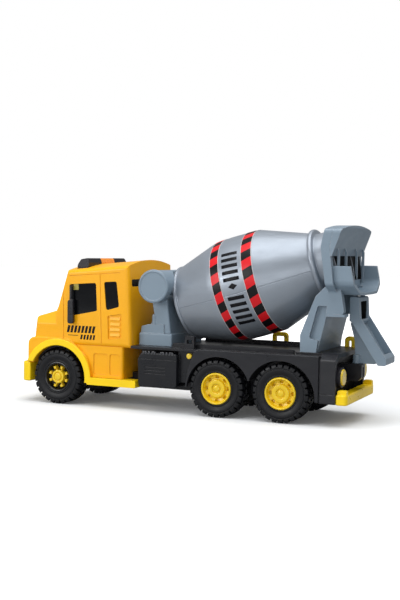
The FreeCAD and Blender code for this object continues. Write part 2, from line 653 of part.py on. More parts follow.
def bumper_bar(x_low, x_high, z_low, z_high, outer_corner):
    """Bumper with rounded corners; outer_corner is +1 at the front, -1 at the rear."""
    half = 50.0 if outer_corner > 0 else 48.5
    radii = (7.0, 1.0) if outer_corner > 0 else (1.0, 4.0)
    plan = [(x_high, -half, radii[0]), (x_high, half, radii[0]), (x_low, half, radii[1]),
            (x_low, -half, radii[1])]
    bar = level_plate(plan, z_low, z_high)
    return round_edges(bar, 1.5, lambda edge: abs(edge.CenterOfMass.z - (z_low + z_high) / 2)
                       > (z_high - z_low) / 2 - 0.1)


def front_bumper():
    """Deep front bumper with a central intake slot."""
    bar = bumper_bar(172.0, HALF_LENGTH, 20.6, NOSE_BOTTOM - 0.3, 1)
    slot = cross_plate([(-20, 26.0, 2), (20, 26.0, 2), (20, 33.0, 2), (-20, 33.0, 2)],
                       HALF_LENGTH - 2.5, HALF_LENGTH + 1)
    return bar.cut(slot)


def rear_bumper():
    """Low rear bar whose ends turn up."""
    bar = bumper_bar(-156.5, BULKHEAD_REAR - FIT, 20.0, 29.5, -1)
    horn = side_plate([(-155.8, 27.0, 0), (-147.2, 27.0, 0), (-147.2, 33.5, 2), (-155.8, 33.5, 2)],
                      42.0, 47.0)
    return fuse([bar] + both_sides(horn))


def mirror():
    """Paddle mirror on a thin arm, drawn for the left side."""
    y_low = CAB_HALF_WIDTH + 2.0
    paddle = side_plate([(121.0, 81.0, 2.2), (127.6, 81.0, 2.2), (127.6, 104.0, 2.5),
                         (121.6, 105.5, 1.5)], y_low, y_low + 3.2)
    paddle = round_edges(paddle, 0.8, lambda edge: edge.CenterOfMass.y > y_low + 3.1)
    arm = side_plate([(123.8, 100.0, 0), (125.8, 100.0, 0), (125.8, 118.5, 0.8), (123.8, 118.5, 0.8)],
                     y_low, y_low + 2.0)
    foot = side_plate([(123.8, 117.0, 0), (125.8, 117.0, 0), (125.8, 118.5, 0.8), (123.8, 118.5, 0.8)],
                      CAB_HALF_WIDTH - 0.6, y_low + 2.0)
    return fuse([paddle, arm, foot])


def roof_button(index):
    """Push button; index -1, 0 and 1 run from right to left."""
    half = BUTTON_PITCH / 2 - BUTTON_GAP / 2
    centre = index * BUTTON_PITCH
    corners = [(BUTTON_REAR, 131.0, 0), (BUTTON_FRONT, 131.0, 0), (BUTTON_FRONT, 139.5, 1),
               (BUTTON_FRONT - 2.6, 144.6, 2), (BUTTON_REAR + 1.6, 146.0, 2), (BUTTON_REAR, 141.5, 1)]
    cap = side_plate(corners, centre - half, centre + half)
    if index:
        outer = centre + index * half
        cap = cap.cut(cross_plate([(outer, 137.5, 0), (outer + index * 2.0, 137.5, 0),
                                   (outer + index * 2.0, 149.0, 0),
                                   (outer - index * BUTTON_SLOPE, 149.0, 0)], 100.0, 135.0))
    flange = block(BUTTON_REAR - 1.8, BUTTON_FRONT + 0.8, centre - half, centre + half, 130.2, 131.2)
    return fuse([cap, flange])


def sound_board():
    """Circuit board with three button switches, hung under the roof."""
    board = block(105.0, 121.0, -43.0, 43.0, BOARD_Z, BOARD_Z + BOARD_THICKNESS)
    parts = [board]
    for index in (-1, 0, 1):
        y = index * BUTTON_PITCH
        parts.append(block(114.0, 120.0, y - 3, y + 3, BOARD_Z + 1.0, BOARD_Z + 4.6))
        parts.append(post(117.0, y, 1.6, BOARD_Z + 4.5, BOARD_Z + 6.6))
    return fuse(parts)


def speaker():
    """Small round speaker that faces the chassis floor."""
    floor = CHASSIS_BOTTOM + CHASSIS_WALL
    basket = post(118.0, 0.0, 11.0, floor + 0.05, floor + 1.6)
    cone = Part.makeCone(9.5, 6.0, 3.0, Vector(118.0, 0, floor + 1.5), Vector(0, 0, 1))
    magnet = post(118.0, 0.0, 6.0, floor + 4.4, floor + 7.0)
    return fuse([basket, cone, magnet])


# ---------------------------------------------------------------- front pedestal and tank
TANK_X = 36.5
TANK_Z = 120.2
TANK_RADIUS = 15.4
TANK_CAP_RADIUS = 16.1
TANK_HALF_LENGTH = 44.0
TANK_FACE_Y = 47.4
COLUMN_Y = 34.0              # the column is nearly as wide as its step
DRUM_ROOM_RADIUS = 37.4


def drum_axis():
    """Unit vector along the drum, towards its mouth."""
    tilt = math.radians(DRUM_TILT)
    return Vector(-math.cos(tilt), 0, math.sin(tilt))


def drum_point(station):
    """Point on the drum's axis at a distance behind its centre."""
    return DRUM_CENTRE + drum_axis() * station


def front_pedestal():
    """Column on a stepped base; it carries the tank and the front drum bearing."""
    base = block(21.0, 56.6, -36.0, 36.0, DECK_FLOOR + FIT, 74.5)
    base = round_edges(base, 1.5, lambda edge: edge.CenterOfMass.z > 70
                       or runs_along(edge, Vector(0, 0, 1)))
    step = side_plate([(30.0, 74.0, 0), (55.0, 74.0, 0), (54.0, 81.0, 2), (46.0, 83.0, 4),
                       (30.0, 83.0, 0)], -35.0, 35.0)
    column = side_plate([(23.2, 74.0, 0), (27.2, 105.0, 0), (27.5, 122.0, 2), (46.5, 122.0, 2),
                         (43.5, 103.0, 6), (39.5, 82.0, 4), (39.5, 74.0, 0)], -COLUMN_Y, COLUMN_Y)
    column = round_edges(column, 1.5, lambda edge: abs(abs(edge.CenterOfMass.y) - COLUMN_Y) < 0.1)
    knob = post(41.2, 31.8, 2.8, 82.0, 93.2)
    knob = round_edges(knob, 2.4, lambda edge: edge.CenterOfMass.z > 93.1)
    flare = Part.makeCone(4.2, 2.8, 3.4, Vector(41.9, 30.6, 82.0), Vector(0, 0, 1))
    knob = knob.fuse(flare)
    pedestal = fuse([base, step, column] + both_sides(knob))
    saddle = rod(TANK_X, TANK_Z, TANK_RADIUS + FIT / 2, -60, 60)
    bearing = Part.makeCylinder(SPINDLE_RADIUS + RUNNING, SPINDLE_LENGTH + 1.0,
                                drum_point(SPINDLE_END - 1.0), drum_axis())
    return cut(pedestal, [saddle, bearing])


def drum_room():
    """Space that the closed end of the drum and its flange sweep."""
    return Part.makeCylinder(DRUM_ROOM_RADIUS, 60, drum_point(DRUM_LINE[0][0] - 2.2), drum_axis())


def water_tank():
    """Long tank across the truck, flattened at the back to clear the drum."""
    barrel = rod(TANK_X, TANK_Z, TANK_RADIUS, -TANK_HALF_LENGTH, TANK_HALF_LENGTH)
    return barrel.cut(drum_room())


def tank_cap():
    """Stepped end cap of the tank, drawn for the left side."""
    seat = TANK_HALF_LENGTH + TOUCH
    profile = [(seat, 0, 0), (seat, TANK_CAP_RADIUS, 0.5),
               (TANK_FACE_Y - 0.5, TANK_CAP_RADIUS, 1.5), (TANK_FACE_Y, TANK_CAP_RADIUS - 2.2, 0.6),
               (TANK_FACE_Y - 0.7, TANK_CAP_RADIUS - 2.8, 0.3), (TANK_FACE_Y - 0.7, 0, 0)]
    return turned(profile, TANK_X, TANK_Z)


# ---------------------------------------------------------------- drum
DRUM_WALL = 2.0
DRUM_SEAM_ANGLE = 82.0       # the two shells part on this meridian, degrees from the top
SEAM_GAP = 0.06              # degrees left open at each edge of a half
DRUM_LINE = [(-65.2, 32.5, 0.5), (-63.6, 35.6, 1.5), (-17.7, 49.6, 45), (1.0, 50.0, 200),
             (25.9, 49.3, 12), (74.4, 31.6, 0)]
COLLAR_START = 62.0          # the mouth ring plugs into the drum from this station
LIP_END = 79.2
DRUM_LIP_RADIUS = 34.8
NECK_RADIUS = 29.5
NECK_END = 97.0
SPINDLE_RADIUS = 3.0
SPINDLE_LENGTH = 14.0
SPINDLE_END = -84.0
BAND_THICKNESS = 0.25
FRONT_BAND = (-17.4, -8.0)
REAR_BAND = (15.0, 26.0)


def around_drum(face, start_angle, sweep):
    """Turns a face drawn in the (station, radius) plane about the drum's axis."""
    axis = drum_axis()
    solid = face.revolve(Vector(0, 0, 0), Vector(1, 0, 0), sweep)
    solid.rotate(Vector(0, 0, 0), Vector(1, 0, 0), start_angle)
    upright = FreeCAD.Rotation(Vector(0, 0, 1), 180)
    lean = FreeCAD.Rotation(Vector(0, 1, 0), DRUM_TILT)
    drum_place = FreeCAD.Placement(DRUM_CENTRE, lean.multiply(upright))
    solid.Placement = drum_place.multiply(solid.Placement)
    return solid


def drum_plane(station, radius):
    """Places a flat point of the drum's section before it is turned."""
    return Vector(station, 0, radius)


def drum_outline(inset):
    """Corners of the drum's outer line, moved inwards by the inset."""
    return [(s, r - inset, max(rounding - inset, 0)) for s, r, rounding in DRUM_LINE]


def drum_shell(start_angle):
    """Half of the drum, parted along its length."""
    outer = drum_outline(0)
    inner = drum_outline(DRUM_WALL)
    front = DRUM_LINE[0][0]
    bore = SPINDLE_RADIUS + FIT
    corners = [(front, bore, 0)] + outer
    corners += [(inner[-1][0], inner[-1][1], 0)]
    corners += list(reversed(inner[2:-1]))
    corners += [(front + DRUM_WALL, inner[1][1] - 1.0, 1), (front + DRUM_WALL, bore, 0)]
    face = rounded_face(corners, drum_plane)
    return around_drum(face, start_angle + SEAM_GAP, 180 - 2 * SEAM_GAP)


def drum_mouth_ring():
    """Rolled lip and neck that turn inside the rear pedestal."""
    shell_end, shell_radius, _ = DRUM_LINE[-1]
    collar = shell_radius - DRUM_WALL - FIT
    lip_start = shell_end + FIT
    corners = [(COLLAR_START, collar - 2.0, 0), (lip_start, collar - 2.0, 0),
               (NECK_END, NECK_RADIUS - 2.0, 0.5), (NECK_END, NECK_RADIUS, 0.5),
               (LIP_END, NECK_RADIUS, 1.0), (LIP_END, DRUM_LIP_RADIUS, 2.2),
               (lip_start, DRUM_LIP_RADIUS, 2.2), (lip_start, collar, 0), (COLLAR_START, collar, 0)]
    face = rounded_face(corners, drum_plane)
    return around_drum(face, 0, 360)


def drum_spindle():
    """Stub with a flange that carries the closed end of the drum."""
    front = DRUM_LINE[0][0]
    corners = [(SPINDLE_END, 0, 0), (SPINDLE_END, SPINDLE_RADIUS, 0.6), (front - 1.6, SPINDLE_RADIUS, 0),
               (front - 1.6, 11.0, 0.5), (front - 0.05, 12.0, 0), (front - 0.05, SPINDLE_RADIUS, 0),
               (front + 6.0, SPINDLE_RADIUS, 0), (front + 6.0, 0, 0)]
    face = rounded_face(corners, drum_plane)
    return around_drum(face, 0, 360)


def hazard_band(stations):
    """Thin sticker wrapped around the drum between two stations."""
    low, high = stations
    outer = rounded_face(drum_band_section(BAND_THICKNESS), drum_plane)
    inner = rounded_face(drum_band_section(TOUCH), drum_plane)
    ring = around_drum(outer, 0, 360).cut(around_drum(inner, 0, 360))
    slab_face = rounded_face([(low, 0, 0), (high, 0, 0), (high, 80, 0), (low, 80, 0)],
                             drum_plane)
    return ring.common(around_drum(slab_face, 0, 360))


def drum_band_section(lift):
    """Closed section under the drum's outer line, raised by the lift."""
    line = [(s, r + lift, rounding + lift if rounding else 0) for s, r, rounding in DRUM_LINE[1:]]
    return [(line[0][0], 0, 0), (line[0][0], line[0][1], 0)] + line[1:] + [(line[-1][0], 0, 0)]


# ---------------------------------------------------------------- rear pedestal and hopper
WEB_Y = 36.0
FLANGE_Y = 40.0
MOUTH_CLEARANCE = 0.4
CHUTE_AXIS_X = -152.0
HOPPER_HALF_WIDTH = 52.0
MOUTH_CROWN = [(HOPPER_HALF_WIDTH, 176.0, 4), (0.0, 184.5, 300), (-HOPPER_HALF_WIDTH, 176.0, 4)]
RIB_YS = (-42.0, -18.0, 18.0, 42.0)
POCKET_HALF_WIDTH = 45.5     # recess in the back of the mouth frame, under the hood
POCKET_FLOOR_X = -135.6


def mouth_frame():
    """Upright frame around the drum's mouth, bent back above and below its middle."""
    half = HOPPER_HALF_WIDTH
    side = side_plate([(-133.0, 98.0, 0), (-135.2, 125.5, 4), (-130.3, 160.0, 14),
                       (-135.4, 186.0, 0), (-143.4, 186.0, 0), (-138.6, 160.0, 14),
                       (-142.6, 125.5, 4), (-142.0, 98.0, 0)], -half, half)
    outline = [(-FLANGE_Y, 97.0, 0), (FLANGE_Y, 97.0, 0), (FLANGE_Y, 120.5, 3), (half, 126.5, 3)]
    outline += MOUTH_CROWN + [(-half, 126.5, 3), (-FLANGE_Y, 120.5, 3)]
    front = cross_plate(outline, -150.0, -120.0)
    return side.common(front)


def mouth_pocket():
    """Recess behind the ribs, between the hood and the trough walls."""
    half = POCKET_HALF_WIDTH
    return cross_plate([(-half, 130.5, 6), (half, 130.5, 6), (half, 152.0, 1), (-half, 152.0, 1)],
                       -150.0, POCKET_FLOOR_X)


def rear_pedestal():
    """Framed stand with the round seat in which the drum's neck turns."""
    seat = PEDESTAL_SEAT + TOUCH
    web = side_plate([(-109.6, seat, 0), (-109.2, 80.4, 4), (-119.9, 107.9, 0), (-123.4, 116.2, 4),
                      (-131.6, 124.5, 0), (-146.0, 124.5, 0), (-150.4, 99.0, 5), (-135.0, 98.0, 0),
                      (-132.0, 98.0, 0), (-124.7, seat, 0)], WEB_Y - 3.0, WEB_Y)
    border = side_plate([(-109.6, seat, 0), (-109.2, 80.4, 4), (-119.9, 107.9, 0),
                         (-123.4, 116.2, 4), (-131.6, 124.5, 0), (-146.0, 124.5, 0), (-150.4, 99.0, 5),
                         (-135.0, 98.0, 0), (-134.0, 107.4, 0), (-125.4, 107.4, 2), (-117.6, 78.0, 2),
                         (-126.0, 76.0, 0), (-124.7, seat, 0)], WEB_Y - 3.0, FLANGE_Y)
    shelf = block(-150.6, -135.0, WEB_Y - 8.0, FLANGE_Y + 0.6, 98.0, 100.4)
    back = side_plate([(-122.0, seat, 0), (-124.7, seat, 0), (-135.0, 109.0, 0), (-132.2, 109.0, 0)],
                      -WEB_Y, WEB_Y)
    front = side_plate([(-109.6, seat, 0), (-109.2, 80.4, 4), (-116.0, 98.0, 0), (-118.4, 98.0, 0),
                        (-111.8, 80.8, 4), (-112.2, seat, 0)], -WEB_Y, WEB_Y)
    ring = mouth_frame()
    stand = fuse([back, front, ring] + both_sides(fuse([web, border, shelf])))
    mouth = Part.makeCylinder(NECK_RADIUS + MOUTH_CLEARANCE, 60, drum_point(COLLAR_START), drum_axis())
    lip_room = Part.makeCylinder(DRUM_LIP_RADIUS + 1.2, LIP_END + 1.0 - COLLAR_START,
                                 drum_point(COLLAR_START), drum_axis())
    chute_room = post(CHUTE_AXIS_X, 0, 19.0, 86.0, 117.0)
    return cut(stand, [mouth, lip_room, chute_room, mouth_pocket()])


def hopper_wall():
    """Side wall and sloping floor of the hopper's lower trough, left side."""
    section = [(48.0, 143.5, 0.8), (45.4, 143.5, 0.8), (45.4, 129.0, 4), (29.0, 120.6, 3),
               (12.0, 119.4, 0), (12.0, 117.2, 0), (30.0, 117.8, 5), (48.0, 127.0, 6)]
    wall = cross_plate(section, -163.0, -139.0)
    behind = side_plate([(-156.8, 144.0, 0), (-161.6, 120.0, 0), (-161.6, 110.0, 0),
                         (-170.0, 110.0, 0), (-170.0, 144.0, 0)], 0, 60)
    ahead = side_plate([(-138.0, 160.0, 0), (-138.8, 158.0, 0), (-142.75, 125.5, 0),
                        (-142.2, 98.0, 0), (-138.0, 98.0, 0)], 0, 60)
    return cut(wall, [behind, ahead])


def hopper():
    """Charging hood above the mouth, ribs, and the trough that feeds the chute."""
    half = HOPPER_HALF_WIDTH
    hood = side_plate([(-136.0, 152.5, 0), (-140.6, 152.2, 1), (-150.2, 178.0, 1), (-149.6, 187.0, 0),
                       (-136.0, 187.0, 0)], -half, half)
    cheek = side_plate([(-139.0, 152.0, 0), (-140.6, 152.0, 0), (-150.2, 178.0, 0),
                        (-148.5, 186.0, 0), (-143.6, 186.0, 0), (-138.8, 160.0, 14)],
                       half - 2.6, half)
    under_crown = cross_plate([(-half, 150.0, 0), (half, 150.0, 0)] + MOUTH_CROWN, -160.0, -120.0)
    top = fuse([hood] + both_sides(cheek)).common(under_crown)
    ribs = []
    for y in RIB_YS:
        floor = 118.5 if abs(y) < NECK_RADIUS else 126.5
        ribs.append(side_plate([(-143.1, floor, 0), (-145.3, floor, 0), (-145.3, 156.0, 0),
                                (-143.1, 160.0, 0)], y - 0.9, y + 0.9))
    bridge = block(-161.0, -143.1, -12.5, 12.5, 117.2, 119.4)
    solid = fuse([top, bridge] + both_sides(hopper_wall()) + ribs)
    neck_room = Part.makeCylinder(NECK_RADIUS + 1.5, 9, drum_point(NECK_END - 6), drum_axis())
    pin_hole = post(CHUTE_AXIS_X, 0, CHUTE_PIN_RADIUS + RUNNING, 110, 125)
    return cut(solid, [neck_room, pin_hole, mouth_frame(), rear_pedestal()])


# ---------------------------------------------------------------- chute
CHUTE_PIN_RADIUS = 1.8
CHUTE_HALF_WIDTH = 17.0
BRACKET_TOP = 53.4
CHUTE_HEAD_TOP = 115.5


def chute_trough():
    """Hinged head, sloping trough and the gusset plate below it."""
    half = CHUTE_HALF_WIDTH
    tip = -HALF_LENGTH
    head = side_plate([(-148.4, 93.5, 1), (-148.4, CHUTE_HEAD_TOP, 2), (-157.0, CHUTE_HEAD_TOP, 2),
                       (-158.4, 93.0, 0), (-156.0, 90.0, 0)], -half, half)
    window = cross_plate([(-half + 5.5, 94.8, 1), (half - 5.5, 94.8, 1), (half - 5.5, 111.4, 1),
                          (-half + 5.5, 111.4, 1)], -160.0, -150.2)
    channel = side_plate([(-148.4, 96.0, 1), (-157.5, 98.5, 1), (tip, 60.5, 2), (tip, 54.2, 2),
                          (-175.5, 54.2, 2), (-150.2, 93.0, 0)], -half, half)
    scoop = side_plate([(-146.0, 103.0, 0), (-152.6, 95.0, 0), (-176.0, 59.1, 1), (-181.5, 65.5, 0),
                        (-186.0, 72.0, 0), (-170.0, 103.0, 0)], -half + 2.2, half - 2.2)
    scoop = scoop.cut(head)
    ridge = side_plate([(-152.0, 94.0, 0), (-153.6, 95.6, 0), (-176.9, 60.0, 0), (-175.0, 58.5, 0)],
                       -0.9, 0.9)
    gusset = side_plate([(-144.8, 92.0, 3), (-149.6, 75.0, 20), (-150.6, BRACKET_TOP + 0.3, 0),
                         (-169.5, BRACKET_TOP + 0.3, 2), (-174.0, 62.0, 0), (-152.0, 94.0, 0)],
                        -1.5, 1.5)
    boss = post(CHUTE_AXIS_X, 0, 4.0, BRACKET_TOP + 0.3, 62.0)
    body = fuse([head, channel, gusset, boss])
    body = cut(body, [window, scoop])
    body = fuse([body, ridge])
    pin_room = post(CHUTE_AXIS_X, 0, CHUTE_PIN_RADIUS, 40, 60)
    top_room = post(CHUTE_AXIS_X, 0, CHUTE_PIN_RADIUS, CHUTE_HEAD_TOP - 2.0, 130)
    return cut(body, [pin_room, top_room])


def chute_pins():
    """Upper and lower pivot pins pressed into the chute."""
    lower = post(CHUTE_AXIS_X, 0, CHUTE_PIN_RADIUS, 42.0, 60.0)
    upper = post(CHUTE_AXIS_X, 0, CHUTE_PIN_RADIUS, CHUTE_HEAD_TOP - 2.0, 119.0)
    return [lower, upper]


def chute_bracket():
    """Upright post at the back of the chassis that holds the lower chute pin."""
    root = RECESS_FLOOR - TOUCH
    body = side_plate([(root, 37.5, 0), (-154.5, 37.5, 3), (-158.0, 41.0, 2),
                       (-158.0, BRACKET_TOP, 1), (root, BRACKET_TOP, 0)], -6.0, 6.0)
    bore = post(CHUTE_AXIS_X, 0, CHUTE_PIN_RADIUS + RUNNING, 41.8, 60)
    slot = block(-159.0, -156.6, -2.0, 2.0, 40.0, 50.5)
    return cut(body, [bore, slot])


# ---------------------------------------------------------------- tail lamps
LAMP_Y = 36.3
LAMP_Z = 44.0
LAMP_RADIUS = 9.4
LAMP_RIM = 1.8
LAMP_FACE_X = -149.0         # rear edge of the housings
LAMP_SEAT_X = -147.0         # floor that the lenses sit on
LENS_FACE_X = -150.6


def tail_lamp_bodies():
    """Round lamp housings in the rear recess."""
    cup = along_truck(LAMP_FACE_X, RECESS_FLOOR - TOUCH, LAMP_Y, LAMP_Z, LAMP_RADIUS)
    cup = round_edges(cup, 0.8, lambda edge: edge.CenterOfMass.x < LAMP_FACE_X + 0.1)
    seat = along_truck(LAMP_FACE_X - 1, LAMP_SEAT_X, LAMP_Y, LAMP_Z, LAMP_RADIUS - LAMP_RIM)
    return both_sides(cup.cut(seat))


def tail_lamp_lenses():
    """Domed yellow lenses set into the housings."""
    radius = LAMP_RADIUS - LAMP_RIM - FIT
    lens = along_truck(LENS_FACE_X, LAMP_SEAT_X - 0.05, LAMP_Y, LAMP_Z, radius)
    lens = round_edges(lens, 1.4, lambda edge: edge.CenterOfMass.x < LENS_FACE_X + 0.1)
    return both_sides(lens)


# ---------------------------------------------------------------- wheels
TYRE_BORE = 14.9
TREAD_DEPTH = 2.0
TREAD_BLOCKS = 24


def tyre_profile():
    """Section of a tyre as (y, radius, rounding), drawn for the left side."""
    outer = TYRE_FACE_Y
    inner = outer - TYRE_WIDTH
    crest = WHEEL_RADIUS
    return [(inner + 1.5, TYRE_BORE, 0.5), (outer - 2.6, TYRE_BORE, 0.5), (outer - 0.4, 17.0, 2.5),
            (outer, 20.0, 5), (outer - 0.8, crest - 2.4, 2.0), (outer - 2.8, crest, 1.2),
            (inner + 2.8, crest, 1.2), (inner + 0.8, crest - 2.4, 2.0), (inner, 20.0, 5)]


def tyre(x):
    """Chunky tyre with open shoulder grooves."""
    ring = turned(tyre_profile(), x, AXLE_Z)
    inner = TYRE_FACE_Y - TYRE_WIDTH
    middle = (TYRE_FACE_Y + inner) / 2
    grooves = []
    step = 360.0 / TREAD_BLOCKS
    low = WHEEL_RADIUS - TREAD_DEPTH
    for index in range(TREAD_BLOCKS):
        for y_low, y_high, shift in ((middle + 2.2, TYRE_FACE_Y + 1, 0.0), (inner - 1, middle - 2.2, 0.5)):
            groove = block(x - 1.1, x + 1.1, y_low, y_high, AXLE_Z + low, AXLE_Z + WHEEL_RADIUS + 2)
            groove.rotate(Vector(x, 0, AXLE_Z), Vector(0, 1, 0), (index + shift) * step)
            grooves.append(groove)
    return cut(ring, grooves)


def rear_wheel(x):
    """Dished rim with eight oval windows and a raised hub."""
    face = TYRE_FACE_Y
    profile = [(face - 18.5, AXLE_RADIUS, 0), (face - 2.5, AXLE_RADIUS, 0), (face - 2.5, 0.6, 0),
               (face - 0.6, 0.6, 0), (face - 0.6, 3.6, 0.8), (face - 1.8, 4.2, 0.4), (face - 1.8, 7.6, 0.8),
               (face - 4.8, 8.4, 0.8), (face - 4.8, 12.2, 1.0), (face - 0.4, 12.9, 0.5),
               (face + 0.3, 13.8, 0.5), (face - 0.6, TYRE_BORE + 0.2, 0.4), (face - 2.4, TYRE_BORE - FIT, 0),
               (face - 18.5, TYRE_BORE - FIT, 0.5), (face - 18.5, 12.6, 0), (face - 6.8, 12.6, 0.5),
               (face - 6.8, 6.0, 0), (face - 18.5, 5.0, 0)]
    wheel = turned(profile, x, AXLE_Z)
    windows = []
    for index in range(8):
        window = rod(x, AXLE_Z + 10.3, 1.45, face - 8, face)
        window.rotate(Vector(x, 0, AXLE_Z), Vector(0, 1, 0), (index + 0.5) * 45.0)
        windows.append(window)
    return cut(wheel, windows)


def front_wheel(x):
    """Deep dished wheel with a small hub and eight lugs."""
    face = TYRE_FACE_Y
    profile = [(face - 18.5, AXLE_RADIUS, 0), (face - 2.5, AXLE_RADIUS, 0), (face - 2.5, 0.6, 0),
               (face - 1.0, 0.6, 0), (face - 1.0, 3.4, 0.8), (face - 1.8, 3.8, 0.3), (face - 1.8, 6.6, 0.8),
               (face - 5.5, 7.4, 0.5), (face - 5.5, 11.2, 0.8), (face - 8.0, 11.6, 0),
               (face - 8.0, TYRE_BORE - FIT, 0), (face - 18.5, TYRE_BORE - FIT, 0.5),
               (face - 18.5, 12.6, 0), (face - 10.0, 12.6, 0.5), (face - 10.0, 6.0, 0),
               (face - 18.5, 5.0, 0)]
    parts = [turned(profile, x, AXLE_Z)]
    for index in range(8):
        lug = rod(x, AXLE_Z + 9.9, 1.25, face - 5.8, face - 3.6)
        lug.rotate(Vector(x, 0, AXLE_Z), Vector(0, 1, 0), index * 45.0)
        parts.append(lug)
    return fuse(parts)


def axle(x):
    """Steel axle that joins the two wheels of a set."""
    half = TYRE_FACE_Y - 3.0
    return rod(x, AXLE_Z, AXLE_RADIUS, -half, half)


# ---------------------------------------------------------------- all sub-parts


def fixed_parts():
    """Sub-parts of the body, by name."""
    parts = {
        "chassis_base": chassis_base(), "chassis_screws": chassis_screws(),
        "battery_cover": battery_cover(), "button_cells": button_cells(), "speaker": speaker(),
        "sound_board": sound_board(), "deck_body": deck_body(), "rear_bulkhead": rear_bulkhead(),
        "side_markers": side_markers(), "deck_clips": deck_clips(), "deck_hoops": deck_hoops(),
        "cab_shell": cab_shell(), "windscreen": windscreen(), "back_window": back_window(),
        "front_bumper": front_bumper(), "rear_bumper": rear_bumper(),
        "front_pedestal": front_pedestal(), "water_tank": water_tank(),
        "tank_caps": both_sides(tank_cap()), "rear_pedestal": rear_pedestal(), "hopper": hopper(),
        "chute_bracket": chute_bracket(), "tail_lamp_bodies": tail_lamp_bodies(),
        "tail_lamp_lenses": tail_lamp_lenses(),
    }
    for side in SIDES:
        parts["side_box_" + side] = on_side(side_box(), side)
        parts["fender_trim_" + side] = on_side(fender_trim(), side)
        parts["window_insert_" + side] = on_side(window_insert(), side)
        parts["mirror_" + side] = on_side(mirror(), side)
    return parts


def moving_parts():
    """Sub-parts of the drum, wheel sets, chute and buttons, by name."""
    parts = {
        "drum_shell_front_side": drum_shell(DRUM_SEAM_ANGLE), "drum_mouth_ring": drum_mouth_ring(),
        "drum_shell_back_side": drum_shell(DRUM_SEAM_ANGLE + 180), "drum_spindle": drum_spindle(),
        "hazard_band_front": hazard_band(FRONT_BAND), "hazard_band_rear": hazard_band(REAR_BAND),
        "chute_trough": chute_trough(), "chute_pins": chute_pins(),
    }
    for name, index in (("left", 1), ("centre", 0), ("right", -1)):
        parts["roof_button_" + name] = roof_button(index)
    for place, x in AXLE_XS.items():
        wheel = front_wheel(x) if place == "front" else rear_wheel(x)
        parts[place + "_axle"] = axle(x)
        for side in SIDES:
            parts[place + "_tyre_" + side] = on_side(tyre(x), side)
            parts[place + "_wheel_" + side] = on_side(wheel, side)
    return parts


os.makedirs("parts", exist_ok=True)
for part_name, part_shape in {**fixed_parts(), **moving_parts()}.items():
    save(part_name, part_shape)
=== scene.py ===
import json
import math

import bmesh
import bpy
from mathutils import Matrix, Vector

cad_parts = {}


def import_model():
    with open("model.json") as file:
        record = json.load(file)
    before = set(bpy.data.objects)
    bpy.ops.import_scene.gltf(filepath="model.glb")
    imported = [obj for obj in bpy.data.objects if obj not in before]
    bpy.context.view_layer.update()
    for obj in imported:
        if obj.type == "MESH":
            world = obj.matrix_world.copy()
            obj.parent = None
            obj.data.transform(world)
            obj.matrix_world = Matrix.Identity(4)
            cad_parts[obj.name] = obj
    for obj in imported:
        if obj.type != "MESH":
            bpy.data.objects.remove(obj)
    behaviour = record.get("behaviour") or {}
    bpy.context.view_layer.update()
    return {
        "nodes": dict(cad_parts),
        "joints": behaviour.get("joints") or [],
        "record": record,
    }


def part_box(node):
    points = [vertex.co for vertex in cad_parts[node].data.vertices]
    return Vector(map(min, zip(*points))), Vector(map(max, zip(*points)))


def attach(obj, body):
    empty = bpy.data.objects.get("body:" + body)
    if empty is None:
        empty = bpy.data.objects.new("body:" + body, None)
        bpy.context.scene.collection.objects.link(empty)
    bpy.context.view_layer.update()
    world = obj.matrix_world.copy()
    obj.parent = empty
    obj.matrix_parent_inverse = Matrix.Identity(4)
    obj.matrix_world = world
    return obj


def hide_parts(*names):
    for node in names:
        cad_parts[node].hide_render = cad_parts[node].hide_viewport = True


# Looks for the toy cement mixer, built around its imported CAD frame.
# Metres; +X to the front bumper, +Y to the truck's left side, +Z up.

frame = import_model()
MM = 0.001

# ---------------------------------------------------------------- colours (linear)
CAB_ORANGE = (0.93, 0.43, 0.002)
LEMON = (0.98, 0.67, 0.003)
RIM_YELLOW = (0.85, 0.58, 0.012)
TYRE_BLACK = (0.004, 0.0045, 0.0065)
CHASSIS_GREY = (0.010, 0.0105, 0.014)
BOX_BLACK = (0.004, 0.0048, 0.0075)
BLUE_GREY = (0.193, 0.258, 0.322)
DRUM_SILVER = (0.295, 0.332, 0.382)
HAZARD_RED = (0.66, 0.008, 0.014)
HAZARD_BLACK = (0.005, 0.005, 0.006)
WINDOW_BLACK = (0.0035, 0.004, 0.005)
MIRROR_BLACK = (0.009, 0.009, 0.013)
AMBER = (0.86, 0.30, 0.006)
LENS_YELLOW = (0.80, 0.56, 0.03)
TAB_YELLOW = (0.36, 0.30, 0.05)
SMOKE = (0.013, 0.012, 0.016)
# Painted shade inside deep hollows.
HOLLOW_SHADE_BLACK = (0.002, 0.002, 0.0025)
SHADE_GREY = (0.022, 0.025, 0.030)
RIB_GREY = (0.03, 0.032, 0.038)
BORDER_GREY = (0.52, 0.50, 0.51)
PRINT_BLACK = (0.003, 0.003, 0.005)
STEEL = (0.62, 0.63, 0.65)
BOARD_GREEN = (0.02, 0.16, 0.05)


# How strongly the edges of the frame and of the dark chassis carry a painted highlight, and how round they
# look.
FRAME_EDGE_HIGHLIGHT = 1.5
CHASSIS_EDGE_HIGHLIGHT = 0.35
FRAME_ROUNDING = 0.8 * MM


